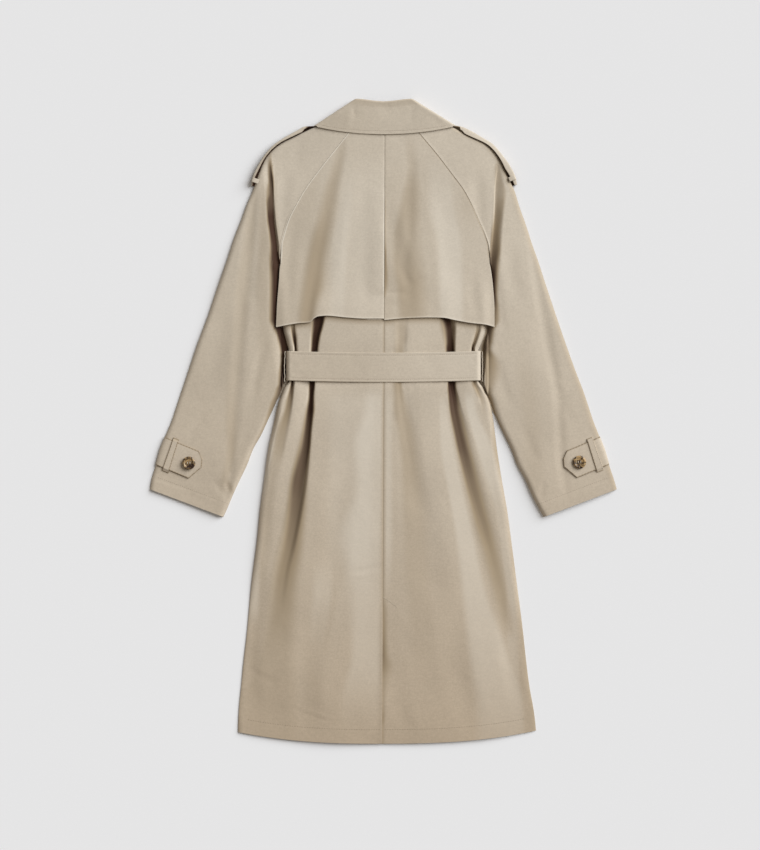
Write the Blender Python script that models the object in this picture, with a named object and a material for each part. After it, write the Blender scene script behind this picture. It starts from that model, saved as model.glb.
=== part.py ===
"""Trench coat laid flat, face down, with its back upwards.

The coat lies on the plane z = 0, its collar towards +Y and its hem towards -Y.  Every
panel is a cloth wall round a grid of points on the middle of the cloth.  The fronts lie
flat on the ground; the back, the sleeves and the storm flap lie over them and turn down
at their side edges.  Sizes and tables are in millimetres and are scaled to metres when
the meshes are made.  Table columns named left and right are distances out from the
middle line x = 0.
"""

import math
from collections import namedtuple

import bmesh
import bpy
import numpy as np

MM = 0.001
SIDES = {"left": -1.0, "right": 1.0}

# Cloth walls
CLOTH = 1.4             # one panel
STRAP_CLOTH = 1.8       # belt, straps and epaulettes, which are double
LOOP_CLOTH = 1.2
GAP = 0.3               # between pieces at a seam, or lying on each other

# Lengths along the coat
UNDERARM_Y = 268.0      # where the raglan seam ends and the free edge of the flap starts
HEM_Y = -547.0
VENT_TOP_Y = -297.0
VENT_UNDERLAP = 38.0    # width of the part of the right panel that lies under the left one
SEAM_LEAN = 0.0043      # the middle seam leans a little across the coat

# Layers
EDGE_FLOOR = 0.4        # how far a turned-down edge stays above what it lies on
LAYER = CLOTH + 0.4     # from one panel to the next one on it
FLAP_LAYER = 2.5        # from the back to the storm flap on it
UNDER_LIFT = 2.1        # how much the belt, collar and epaulettes raise the fronts over them
FRONT_INSET = 2.6       # fronts end this far inside the outline of the back
CUFF_INSET = (-1.4, 2.8)  # the same at the cuff, along the sleeve
TURN_ANGLES = (0, 24, 48, 70, 90)

BELT_WIDTH = 50.0
BELT_TOP_Z = 14.5
BELT_HALF_LENGTH = 164.0
BELT_MIDDLE_Y = 94.5
BELT_BOW = 3.0
BELT_CLEARANCE = 4.0    # room for the turn of the belt beside the fronts

BUTTON_Z = 10.2
BUTTON_SEGMENTS = 28
HOLE_RADIUS = 1.1
HOLE_OFFSET = 3.0       # from the middle of the button to the middle of a hole


def table(columns, *rows):
    """Rows of named columns."""
    row = namedtuple("Row", columns)
    return [row(*values) for values in rows]


def curve(rows, column):
    """Smooth curve without overshoot through one column, against the first column."""
    rows = sorted(rows)
    at = np.array([row[0] for row in rows], float)
    value = np.array([getattr(row, column) for row in rows], float)
    slope = np.diff(value) / np.diff(at)
    tangent = np.zeros(len(at))
    tangent[0], tangent[-1] = slope[0], slope[-1]
    for i in range(1, len(at) - 1):
        before, after = slope[i - 1], slope[i]
        if before * after > 0:
            tangent[i] = 2 * before * after / (before + after)

    def read(where):
        where = np.clip(np.asarray(where, float), at[0], at[-1])
        i = np.clip(np.searchsorted(at, where) - 1, 0, len(at) - 2)
        span = at[i + 1] - at[i]
        t = (where - at[i]) / span
        ends = value[i] * (1 + 2 * t) * (1 - t) ** 2 + value[i + 1] * t * t * (3 - 2 * t)
        bends = tangent[i] * t * (1 - t) ** 2 - tangent[i + 1] * t * t * (1 - t)
        return ends + span * bends

    return read


def step(value, start, end):
    """Smooth rise from 0 at start to 1 at end."""
    t = np.clip((np.asarray(value, float) - start) / (end - start), 0.0, 1.0)
    return t * t * (3 - 2 * t)


def turn(distance, radius):
    """Share of its full height that a turned-down edge has at a distance inside it."""
    t = np.clip(np.asarray(distance, float) / radius, 0.0, 1.0)
    return np.sqrt(1.0 - (1.0 - t) ** 2)


def dip(offset, width):
    """Cross-section of a soft fold: 1 on its line, 0 at half its width."""
    t = np.clip(np.abs(offset) / (0.5 * width), 0.0, 1.0)
    return np.cos(0.5 * math.pi * t) ** 2


# ---------------------------------------------------------------- outlines

# Edge of the back: raglan seam down to the underarm, then the side down to the hem.
BODY_EDGE = table(
    "y left right",
    (502, 50.5, 51.5), (489, 60, 61), (454, 88, 90), (414, 119, 120.5), (393, 134, 136),
    (367, 149, 150), (341, 162, 161.5), (317, 169.5, 172), (296, 174.5, 178.5),
    (268, 176, 181), (220, 174.5, 179), (160, 171, 174), (136, 164.5, 167.5),
    (119, 160.5, 161), (69, 160.5, 161), (58, 168, 168.5), (37, 177, 178.5),
    (20, 181.5, 183.5), (3, 185, 186.5), (-48, 196, 193), (-99, 203, 201),
    (-150, 210, 210), (-201, 215, 217), (-278, 225, 227), (-354, 232, 237),
    (-431, 240.5, 245.6), (-507, 246.5, 256), (-547, 247.5, 259.5),
)

# The hem rises towards its corners.
HEM_RISE = 20.0
HEM_HALF = 250.0
HEM_POWER = 2.5

# Height of the cloth over the ground, its fall towards the sides, and the radius of the
# turned-down side edges.  It is fullest where the belt gathers it.
BACK_HEIGHT = table(
    "y height fall turn",
    (502, 6.9, 0.4, 8), (300, 6.9, 0.5, 8), (268, 7.3, 0.5, 8), (220, 9.0, 0.5, 8),
    (180, 11.0, 0.5, 8), (150, 12.0, 0.5, 8), (127, 12.6, 0.5, 7), (118, 12.4, 0.3, 7),
    (66, 12.4, 0.3, 7), (56, 12.9, 0.5, 6), (37, 12.6, 0.6, 6), (3, 12.0, 0.8, 9),
    (-50, 11.0, 1.0, 12), (-106, 10.0, 1.2, 13), (-210, 8.6, 1.4, 13),
    (-350, 7.2, 1.6, 13), (-547, 6.4, 1.8, 14),
)

# Folds that the belt draws into the back: where each one runs, its width and its depth.
GATHERS = {
    "left": (
        table("y x width depth",
              (200, 110, 18, 1.5), (171, 111, 18, 5.5), (119, 115, 13, 8), (92, 117, 11, 6),
              (65, 120, 11, 8), (3, 126, 14, 7), (-50, 132, 18, 6), (-106, 139, 22, 5),
              (-160, 149, 24, 4), (-210, 160, 26, 3), (-255, 171, 28, 2), (-327, 181, 28, 0)),
        table("y x width depth",
              (200, 155, 9, 0), (161, 153, 8, 5), (119, 149, 7, 7), (92, 150, 7, 4),
              (67, 152, 7, 7), (37, 157, 9, 5), (3, 164, 12, 2.5), (-40, 172, 12, 0)),
    ),
    "right": (
        table("y x width depth",
              (200, 29, 14, 1), (169, 28, 14, 2.5), (119, 28, 13, 3), (92, 28, 13, 1.5),
              (63, 29, 13, 3), (12, 34, 16, 2.5), (-57, 48, 20, 1.5), (-106, 55, 22, 0)),
        table("y x width depth",
              (200, 106, 28, 1.5), (171, 107, 26, 5), (120, 110, 18, 8), (92, 113, 14, 6),
              (67, 116, 13, 8), (3, 126, 18, 6.5), (-45, 135, 20, 6), (-88, 145, 20, 5),
              (-175, 170, 20, 4), (-223, 184, 20, 3), (-300, 203, 20, 1), (-360, 212, 20, 0)),
        table("y x width depth",
              (200, 161, 8, 0), (159, 160, 8, 4), (122, 151, 7, 7), (92, 151, 7, 4),
              (67, 151.5, 8, 7), (37, 164, 8, 4), (13, 172, 8, 0)),
    ),
}

# Free side edge and lower edge of the storm flap.
FLAP_EDGE = table(
    "y left right",
    (268, 174.8, 179.8), (258, 177.0, 182), (247, 179, 183.6), (231, 180.5, 185.5),
    (198, 183, 188), (172, 183, 188), (160, 179, 187),
)
FLAP_HEM_Y = 172.0
FLAP_HEM = {
    "left": table("x y", (0, 174), (32, 174), (64, 176), (97, 179), (110, 178),
                  (118, 174.5), (124, 168), (146, 166), (180, 160)),
    "right": table("x y", (0, 171.5), (42, 175), (78, 176), (99, 175.6), (123, 171),
                   (148, 166.6), (172, 164), (188, 160)),
}
FLAP_FOLDS = {
    "left": (
        table("y x width depth",
              (480, 70, 22, 0), (446, 75, 22, 1.2), (394, 89, 24, 1.6), (300, 107, 22, 1.5),
              (220, 122, 20, 1.8), (172, 129, 20, 2.2)),
    ),
    "right": (
        table("y x width depth",
              (470, 48, 22, 0), (434, 47, 22, 1.0), (394, 43, 22, 1.2), (312, 43, 20, 1.2),
              (270, 35, 20, 1.2), (215, 42, 22, 0.8), (180, 44, 22, 0)),
    ),
}
# The left half of the flap laps over the right along this stretch of the middle line.
FLAP_LAP = table("y rise", (400, 0), (370, 0.8), (300, 1.2), (230, 1.2), (212, 0))

# Sleeve: the inner edge below the underarm, and the outer edge opposite each inner y.
SLEEVE_INNER = table(
    "y left right",
    (268, 176, 181), (262, 177.5, 182.5), (245, 178, 183), (205, 177, 182),
    (160, 174.5, 178.5), (130, 173, 174), (95, 172.5, 172.5), (67, 170, 170.5),
    (50, 174.5, 175), (36, 181, 181.5), (20, 188, 187), (4, 195.5, 192.5),
    (-23, 208, 205), (-48, 222, 217), (-74, 232, 227), (-99, 244, 240.5),
    (-125, 256, 252), (-150, 266.5, 265), (-162, 272, 272),
)
SLEEVE_OUTER = table(
    "y outer_y left right",
    (502, 508, 98, 102), (470, 486, 146, 142), (440, 468, 180, 178),
    (410, 446, 200.5, 197), (380, 422, 211.5, 208.5), (350, 392, 222, 222.5),
    (322, 366, 233, 230.5), (296, 340, 243, 240), (281, 322, 250, 246),
    (268, 306, 256, 251), (245, 275, 266, 262), (205, 232, 281, 276),
    (160, 181, 298, 293), (115, 130, 317, 310.5), (67, 79, 334, 329),
    (36, 53.5, 342.5, 339), (4, 28, 351, 347.6), (-23, 2.5, 359.5, 356),
    (-53, -23, 370, 366), (-85, -48.5, 380, 376), (-115, -74, 387, 383.5),
    (-142, -99.5, 394.5, 392), (-162, -115, 397, 396.5),
)
SLEEVE_HEIGHT = table(
    "y height outer_turn inner_turn",
    (502, 9.2, 9, 12), (430, 9.2, 10, 12), (394, 9.0, 12, 12), (300, 8.4, 14, 14),
    (200, 8.0, 14, 18), (67, 7.5, 14, 16), (0, 7.2, 13, 13), (-162, 6.0, 12, 12),
)
# Deep crease between the shoulder and the arm, down to the underarm; it has full depth
# where its share is 1.
CREASE = table(
    "y left right share",
    (470, 188, 189, 0), (452, 193, 194, 0.1), (430, 191, 192.5, 0.7), (410, 188.5, 190, 1),
    (394, 187, 188.5, 1), (345, 184, 187, 1), (296, 178, 183, 1), (281, 176.9, 181.9, 1),
    (268, 176, 181, 1), (262, 175, 180, 1), (200, 172, 177, 1),
)
CREASE_WALL = (-1.2, 1.4)
CREASE_SLOPE = 17.0
SLEEVE_FOLDS = {
    "left": table("y x width depth",
                  (380, 222, 20, 0), (339, 226, 26, 0.7), (208, 238, 30, 1.0),
                  (125, 245, 30, 1.0), (23, 252, 28, 1.4), (-60, 258, 24, 1.4),
                  (-120, 264, 18, 1.2), (-160, 268, 16, 0.6)),
    "right": table("y x width depth",
                   (350, 245, 24, 0), (310, 251, 26, 0.8), (244, 259, 28, 1.0),
                   (149, 276, 28, 1.0), (36, 296, 26, 1.3), (-62, 302, 26, 1.2),
                   (-140, 312, 24, 0)),
}

# Free front edges under the back: from the neck across the middle, then straight down.
NECKLINE = table("y x", (502, -44), (470, -36), (400, 10), (330, 72), (320, 75))

# Collar fall: its back leaf, and the front leaves that its sides turn to.
COLLAR_LEAF = table(
    "x low_y top_x top_y",
    (0, 486.5, 0, 542.5), (30, 487.5, 14, 543.5), (60, 490, 27, 545.2),
    (90, 494.5, 37, 546.4), (112, 499, 43, 546.7),
)
COLLAR_CORNER = table("side low_x low_y top_x top_y",
                      ("left", 118.5, 501, 49.5, 546.7), ("right", 123.5, 501, 50.5, 546.7))
COLLAR_LOW_Z = 11.5
COLLAR_TOP_Z = 12.7
COLLAR_ROLL = 4.6
COLLAR_SIDE_ROLL = 1.8
COLLAR_ROLL_Y = 5.0

# Belt loops, which stand on edge outside the turn of the belt.
BELT_LOOP = table(
    "y left right",
    (125, 163.5, 165.4), (121, 165.8, 166.3), (113, 168.0, 168.0), (100, 169.2, 168.8),
    (88, 169.4, 169.0), (76, 168.8, 168.4), (69, 168.0, 167.6), (63, 166.4, 166.4),
)

# Epaulettes: a strip round the outside of each shoulder edge, bowed out near its tip.
EPAULETTE = {
    "left": table("y x", (499.5, 133.5), (493, 146), (482, 166), (467.5, 187), (452, 200.6),
                  (433, 212.6), (412, 222), (400, 224)),
    "right": table("y x", (499.5, 132), (494, 144.5), (481, 167), (470, 184.5),
                   (452, 200.4), (433, 214), (416, 222.6), (402, 226)),
}
EPAULETTE_SECTION = table("inward z", (0, 10.2), (0, 7), (0, 4), (1.2, 2.0), (4, 0.9),
                          (14, 0.9), (24, 0.9))

# Sleeve straps near the cuffs: ends along the sleeve, length in from the outer edge.
STRAP = {"top_y": -59.5, "bottom_y": -117.0, "shoulder": 59.0, "tip": 78.0}
STRAP_LOOP_FROM = 12.5
STRAP_LOOP_WIDTH = 10.5
STRAP_BUTTON = {"left": (-330.0, -70.5), "right": (332.0, -69.0)}
BUTTON_PROFILE = table("radius z", (0.0, 0.0), (9.6, 0.0), (11.0, 0.8), (11.3, 1.7),
                       (10.9, 2.7), (10.0, 3.2), (8.6, 2.9), (7.6, 2.1), (0.0, 1.9))


# ---------------------------------------------------------------- curves of the tables

BODY = {side: curve(BODY_EDGE, side) for side in SIDES}
BACK = {name: curve(BACK_HEIGHT, name) for name in ("height", "fall", "turn")}
FLAP_SIDE = {side: curve(FLAP_EDGE, side) for side in SIDES}
FLAP_LOW = {side: curve(FLAP_HEM[side], "y") for side in SIDES}
SLEEVE_IN = {side: curve(SLEEVE_INNER, side) for side in SIDES}
SLEEVE_OUT = {side: curve(SLEEVE_OUTER, side) for side in SIDES}
SLEEVE_OUT_Y = curve(SLEEVE_OUTER, "outer_y")
ARM = {name: curve(SLEEVE_HEIGHT, name) for name in ("height", "outer_turn", "inner_turn")}
CREASE_X = {side: curve(CREASE, side) for side in SIDES}
CREASE_SHARE = curve(CREASE, "share")
LAP_RISE = curve(FLAP_LAP, "rise")
NECK_X = curve(NECKLINE, "x")


def fold_curves(rows):
    """The line, width and depth of one fold, each as a curve."""
    return curve(rows, "x"), curve(rows, "width"), curve(rows, "depth")


BACK_FOLDS = {side: [fold_curves(rows) for rows in GATHERS[side]] for side in SIDES}
SOFT_FOLDS = {side: [fold_curves(rows) for rows in FLAP_FOLDS[side]] for side in SIDES}
ARM_FOLD = {side: fold_curves(SLEEVE_FOLDS[side]) for side in SIDES}


def across(side, out, y):
    """Place across the coat at a distance out, where the middle seam leans a little."""
    share = np.clip(1.0 - np.abs(out) / BODY[side](y), 0.0, 1.0)
    return SIDES[side] * out + SEAM_LEAN * y * share


def folds_depth(folds, out, y):
    """How deep a set of folds is at a distance out from the middle line."""
    depth = np.zeros_like(out)
    for line, width, deep in folds:
        depth = np.maximum(depth, deep(y) * dip(out - line(y), width(y)))
    return depth


def shoulder_lift(y):
    """How much the collar and epaulettes, on the ground, raise what lies on them."""
    return UNDER_LIFT * step(y, 340, 372)


def belt_share(y):
    """1 along the belt, falling to 0 above and below it."""
    return step(y, 46, 59) * (1 - step(y, 125, 138))


def body_lift(y):
    """The same for the body, which also lies on the front run of the belt."""
    return np.maximum(shoulder_lift(y), UNDER_LIFT * belt_share(y))


def body_height(side, out, y):
    """Height of the back before its gathers and turned edges."""
    across = out / BODY[side](np.minimum(y, UNDERARM_Y))
    soft = folds_depth(SOFT_FOLDS[side], out, y) * step(y, 190, 215)
    return BACK["height"](y) - BACK["fall"](y) * across ** 2 - soft


def back_height(side, out, y):
    """Height of the back with its gathers and turned-down side edge."""
    ground = body_lift(y) + EDGE_FLOOR + 2.0 * belt_share(y)
    height = body_height(side, out, y) - folds_depth(BACK_FOLDS[side], out, y)
    turned = turn(BODY[side](y) - 0.5 * CLOTH - out, BACK["turn"](y))
    share = 1 - (1 - turned) * (1 - step(y, 255, 282))
    return ground + (height - ground) * share


def cover_height(side, out, y):
    """Height of the storm flap and of the shoulder that is sewn level with it."""
    lap = step(y, 190, 215)
    folds = folds_depth(SOFT_FOLDS[side], out, y) * (1 - lap)
    hem_rise = 2.2 * (1 - step(y, 190, 225))
    return body_height(side, out, y) + FLAP_LAYER + hem_rise - folds


# ---------------------------------------------------------------- meshes


def material(name, colour, roughness):
    """Plain finish of one piece."""
    finish = bpy.data.materials.new(name)
    finish.use_nodes = True
    shader = finish.node_tree.nodes["Principled BSDF"]
    shader.inputs["Base Color"].default_value = (*colour, 1.0)
    shader.inputs["Roughness"].default_value = roughness
    shader.inputs["Metallic"].default_value = 0.0
    return finish


CLOTH_COLOUR = (0.50, 0.43, 0.34)
BUTTON_COLOUR = (0.20, 0.12, 0.06)


def add_object(name, mesh_data, colour, roughness):
    """Named object of one piece, smooth but for its sharp edges."""
    piece = bpy.data.objects.new(name, mesh_data)
    bpy.context.scene.collection.objects.link(piece)
    mesh_data.materials.append(material(name, colour, roughness))
    mesh_data.shade_smooth()
    mesh_data.set_sharp_from_angle(angle=math.radians(50))
    return piece


def wall(name, points, thickness, closed=False):
    """Cloth wall round a grid of points on the middle of the cloth."""
    build = bmesh.new()
    grid = [[build.verts.new(point) for point in row] for row in np.asarray(points) * MM]
    columns = len(grid[0])
    for above, below in zip(grid, grid[1:]):
        for j in range(columns if closed else columns - 1):
            k = (j + 1) % columns
            build.faces.new((above[j], above[k], below[k], below[j]))
    mesh_data = bpy.data.meshes.new(name)
    build.to_mesh(mesh_data)
    build.free()
    piece = add_object(name, mesh_data, CLOTH_COLOUR, 0.8)
    thicken = piece.modifiers.new("cloth", "SOLIDIFY")
    thicken.thickness = thickness * MM
    thicken.offset = 0.0
    thicken.use_quality_normals = True
    return piece


def spaced(positions, end, least=0.6):
    """Increasing positions from the first one to the end, never closer than least."""
    out = list(positions)
    for i in range(1, len(out)):
        out[i] = max(out[i], out[i - 1] + least)
    out[-1] = end
    for i in range(len(out) - 2, -1, -1):
        out[i] = min(out[i], out[i + 1] - least)
    return out


def turned_positions(end, radius):
    """Columns of a turned-down edge, from where it starts to its end."""
    return [end - radius * (1 - math.cos(math.radians(a))) for a in reversed(TURN_ANGLES)]


# ---------------------------------------------------------------- back panels

BACK_ROWS = (502, 460, 414, 370, 330, 300, 282, 268, 255, 222, 190, 166, 146, 128, 118, 94,
             69, 60, 46, 28, 3, -30, -65, -106, -160, -210, -255, -293, -299, -303, -350,
             -420, -490, -547)
FOLD_COLUMNS = (-0.5, -0.27, 0.0, 0.27, 0.5)
LAST_FOLD_Y = 178.0


def back_end(side, y):
    """Last column of the back: on the raglan seam, or the turned-down side edge."""
    seam = BODY[side](y) - 0.5 - 0.7 * float(step(y, 240, 262) * (1 - step(y, 282, 312)))
    side_edge = BODY[side](y) - 0.5 * CLOTH
    return float(seam if y >= UNDERARM_Y else side_edge)


def back_columns(side, y):
    """Distances out from the middle of the columns of the back at one height."""
    fold_y = min(y, LAST_FOLD_Y)
    end = back_end(side, fold_y)
    columns = [0.5 * GAP]
    folds = [(float(line(fold_y)), float(width(fold_y))) for line, width, _ in BACK_FOLDS[side]]
    for line, width in folds:
        start = columns[-1]
        columns.append(0.5 * (start + line - 0.5 * width))
        columns += [line + share * width for share in FOLD_COLUMNS]
    columns += turned_positions(end, float(BACK["turn"](fold_y)))
    columns = spaced(columns, end)
    return [value * back_end(side, y) / end for value in columns]


def hem_lift(out, y, hem_y=HEM_Y):
    """Rise of the hem towards its corners, shared by the rows just above it."""
    return HEM_RISE * np.abs(out / HEM_HALF) ** HEM_POWER * (1 - step(y, hem_y, -440))


def make_back(side):
    """Back panel with its gathers; the right one has the underlap of the vent."""
    points = []
    for y in BACK_ROWS:
        out = np.array(back_columns(side, y))
        z = back_height(side, out, y)
        if side == "right":
            out = np.insert(out, 1, 1.0)
            out[2] = min(out[2], 10.0)
            if y < VENT_TOP_Y - 4.0:
                out[0] = -VENT_UNDERLAP
            z = back_height(side, np.abs(out), y)
            if y < VENT_TOP_Y:
                z[:2] = z[0] - LAYER - 0.1
        points.append(np.column_stack((across(side, out, y), y + hem_lift(out, y), z)))
    return wall(f"back_{side}", points, CLOTH)


# ---------------------------------------------------------------- storm flap

FLAP_ROWS = (502, 470, 440, 410, 380, 350, 322, 296, 281, 268, 256, 236, 216, 200, 186, 172)
FLAP_SHARES = {
    "left": (0.0, 0.04, 0.12, 0.28, 0.44, 0.57, 0.63, 0.69, 0.75, 0.86, 0.95, 1.0),
    "right": (0.0, 0.04, 0.12, 0.18, 0.24, 0.30, 0.38, 0.52, 0.66, 0.80, 0.93, 1.0),
}


def flap_end(side, y):
    """Last column of the flap: on the raglan seam, or its free side edge."""
    seam = BODY[side](y) - 0.5 * GAP - 1.1 * (1 - step(y, 285, 305))
    return float(seam if y >= UNDERARM_Y else FLAP_SIDE[side](y))


def make_flap(side):
    """Half of the storm flap, sewn into the raglan seam and free at its side and bottom."""
    points = []
    for y in FLAP_ROWS:
        out = 0.5 * GAP + np.array(FLAP_SHARES[side]) * (flap_end(side, y) - 0.5 * GAP)
        z = cover_height(side, out, y)
        z -= 2.5 * step(out, 167, 185) * (1 - step(y, 215, 262))
        if side == "left":
            z += LAP_RISE(y) * (1 - step(out, 3, 12))
        low = (FLAP_LOW[side](out) - FLAP_HEM_Y) * (1 - step(y, FLAP_HEM_Y, 236))
        points.append(np.column_stack((across(side, out, y), y + low, z)))
    return wall(f"flap_{side}", points, CLOTH)


def make_flap_tab():
    """Small tab under the lower edge of the flap, beside the middle seam."""
    y = np.array([190.0, 183.0, 171.6])
    x = np.linspace(-28.0, -3.0, 4)
    points = []
    for row_y in y:
        z = cover_height("left", -x, max(row_y, 174.0)) - 0.5 * CLOTH - GAP - 0.5 * LOOP_CLOTH
        points.append(np.column_stack((x, np.full(4, row_y), z - 0.1)))
    return wall("flap_tab", points, LOOP_CLOTH)


# ---------------------------------------------------------------- sleeves

SLEEVE_ROWS = (502, 470, 440, 410, 380, 350, 322, 296, 281, 268, 262, 245, 205, 160, 115,
               67, 36, 4, -23, -53, -85, -115, -142, -162)


def sleeve_line(side, y):
    """Inner and outer point of the sleeve outline on the line that starts at inner y."""
    inner = BODY[side](y) if y >= UNDERARM_Y else SLEEVE_IN[side](y)
    return (np.array([float(inner), float(y)]),
            np.array([float(SLEEVE_OUT[side](y)), float(SLEEVE_OUT_Y(y))]))


def crease_position(side, inner, outer):
    """Distance along a line of the sleeve at which it crosses the shoulder crease."""
    share = np.linspace(0.0, 1.0, 201)
    along = inner[None, :] + share[:, None] * (outer - inner)[None, :]
    past = along[:, 0] - CREASE_X[side](along[:, 1])
    return float(np.interp(0.0, past, share)) * float(np.linalg.norm(outer - inner))


def sleeve_height(side, out, y, line_y, from_inner, from_outer):
    """Height of the top of the sleeve at a point of the line that starts at inner line_y."""
    ground = shoulder_lift(y) + EDGE_FLOOR + 2.5 * step(y, 488, 499)
    line, width, depth = ARM_FOLD[side]
    arm = ARM["height"](y) - depth(y) * dip(out - line(y), width(y))
    valley = shoulder_lift(y) + LAYER + 0.8
    valley = arm + (valley - arm) * CREASE_SHARE(y)
    past = out - CREASE_X[side](y)
    sloped = valley + (arm - valley) * step(past, CREASE_WALL[1], CREASE_SLOPE)
    turned = ground + (arm - ground) * turn(from_inner, ARM["inner_turn"](y))
    low = step(line_y, 250, 272)
    arm_side = sloped * low + turned * (1 - low)
    shoulder = cover_height(side, out, np.maximum(y, 230))
    over = step(past, *CREASE_WALL)
    height = shoulder * (1 - over) + arm_side * over
    return ground + (height - ground) * turn(from_outer, ARM["outer_turn"](y))


def sleeve_points(side, line_y, distances, start, end):
    """Points of the top of the sleeve at distances along one of its lines."""
    inner, outer = sleeve_line(side, line_y)
    length = float(np.linalg.norm(outer - inner))
    along = np.asarray(distances, float)
    flat = inner[None, :] + (along / length)[:, None] * (outer - inner)[None, :]
    z = sleeve_height(side, flat[:, 0], flat[:, 1], line_y, along - start, end - along)
    return np.column_stack((SIDES[side] * flat[:, 0], flat[:, 1], z))


def sleeve_ends(side, line_y):
    """Where the cloth of the top of the sleeve starts and ends along one of its lines."""
    inner, outer = sleeve_line(side, line_y)
    start = 0.5 * GAP if line_y >= UNDERARM_Y else 0.5 * CLOTH
    return start, float(np.linalg.norm(outer - inner)) - 0.5 * CLOTH


def make_sleeve_back(side):
    """Upper half of the raglan sleeve, with the crease beside the shoulder."""
    points = []
    for line_y in SLEEVE_ROWS:
        start, end = sleeve_ends(side, line_y)
        inner, outer = sleeve_line(side, line_y)
        crease = crease_position(side, inner, outer)
        radius = float(ARM["outer_turn"](line_y))
        columns = [start, 0.5 * (start + crease), crease - 1.6, crease - 0.4, crease + 0.8,
                   crease + 2.2, crease + 6.0, crease + 11.0, crease + 18.0]
        columns = spaced(columns, min(columns[-1], end - radius - 4.0))
        first = columns[-1]
        columns += [first + share * (end - radius - first) for share in (0.25, 0.5, 0.75)]
        columns += turned_positions(end, radius)
        columns = spaced(columns, end)
        columns[0] = start
        points.append(sleeve_points(side, line_y, columns, start, end))
    return wall(f"sleeve_back_{side}", points, CLOTH)


def make_sleeve_front(side):
    """Lower half of the sleeve, flat on the ground under the upper half."""
    points = []
    for line_y in SLEEVE_ROWS:
        inner, outer = sleeve_line(side, line_y)
        length = float(np.linalg.norm(outer - inner))
        start = 0.5 * GAP if line_y >= UNDERARM_Y else FRONT_INSET
        columns = np.linspace(start, length - FRONT_INSET, 5)
        flat = inner + (columns / length)[:, None] * (outer - inner)
        if line_y == SLEEVE_ROWS[-1]:
            flat += np.array(CUFF_INSET)
        z = 0.5 * CLOTH + shoulder_lift(flat[:, 1])
        points.append(np.column_stack((SIDES[side] * flat[:, 0], flat[:, 1], z)))
    return wall(f"sleeve_front_{side}", points, CLOTH)


# ---------------------------------------------------------------- fronts

FRONT_ROWS = (502, 470, 440, 410, 380, 350, 322, 296, 281, 268, 262, 222, 166, 146, 128,
              118, 69, 60, 46, 28, 3, -65, -106, -160, -210, -255, -350, -420, -490, -547)


def make_front(side):
    """Front panel, flat on the ground; the left one also lies over the right one."""
    points = []
    for y in FRONT_ROWS:
        seam = BODY[side](y) - 0.5 * GAP
        inset = FRONT_INSET + BELT_CLEARANCE * belt_share(y)
        outer = float(seam if y >= UNDERARM_Y else BODY[side](y) - inset)
        free = float(-NECK_X(y))
        crossing = -free
        columns = [free]
        if side == "left":
            columns += [crossing + shift for shift in (1.0, 9.0)]
        else:
            columns += [0.5 * crossing, crossing]
        columns += [max(columns[-1], 20.0) + share * (outer - max(columns[-1], 20.0))
                    for share in (0.35, 0.7)] + [outer]
        out = np.array(spaced(columns, outer, 1.0))
        out[0] = min(free, out[0])
        z = 0.5 * CLOTH + body_lift(y) + np.zeros_like(out)
        if side == "left":
            z += LAYER * (1 - step(out, crossing + 1.0, crossing + 9.0))
        rise = hem_lift(out, y) + 3.0 * (1 - step(y, HEM_Y, -530))
        points.append(np.column_stack((across(side, out, y), y + rise, z)))
    return wall(f"front_{side}", points, CLOTH)


# ---------------------------------------------------------------- collar


def collar_polyline():
    """Columns round the collar: low x and y, top x and y, both heights, way inwards."""
    columns = []
    for corner in COLLAR_CORNER:
        sign = SIDES[corner.side]
        scale = corner.low_x / 118.5
        top_z, low_z = COLLAR_TOP_Z, COLLAR_LOW_Z
        half = []
        for row in COLLAR_LEAF[1:]:
            half.append((sign * row.x * scale, row.low_y, sign * row.top_x * scale, row.top_y,
                         low_z, top_z, 0, -COLLAR_ROLL))
        centre_z = 0.5 * (low_z + 0.9)
        for angle in (60, 30, 0, -30, -60, -90):
            c, s = math.cos(math.radians(angle)), math.sin(math.radians(angle))
            low_x = corner.low_x - 6.0 + 5.3 * c
            top_x = corner.top_x - 6.0 + 5.3 * c
            half.append((sign * low_x, corner.low_y - (0 if s >= 0 else 2 * s * s),
                         sign * top_x, corner.top_y,
                         centre_z + (low_z - centre_z) * s,
                         0.5 * (top_z + 0.9) + (top_z - 0.9) * 0.5 * s,
                         -sign * c * COLLAR_SIDE_ROLL, -s * COLLAR_SIDE_ROLL))
        half.append((sign * 104, 452, sign * 41, 545.5, 0.9, 0.9, 0, COLLAR_ROLL))
        half.append((sign * 74, 438, sign * 38, 544.5, 0.9, 0.9, 0, COLLAR_ROLL))
        half.append((sign * 46, 430, sign * 35, 543.5, 0.9, 0.9, 0, COLLAR_ROLL))
        columns.append(half)
    first = COLLAR_LEAF[0]
    centre = (0, first.low_y, 0, first.top_y, COLLAR_LOW_Z, COLLAR_TOP_Z, 0, -COLLAR_ROLL)
    return columns[0][::-1] + [centre] + columns[1]


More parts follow.
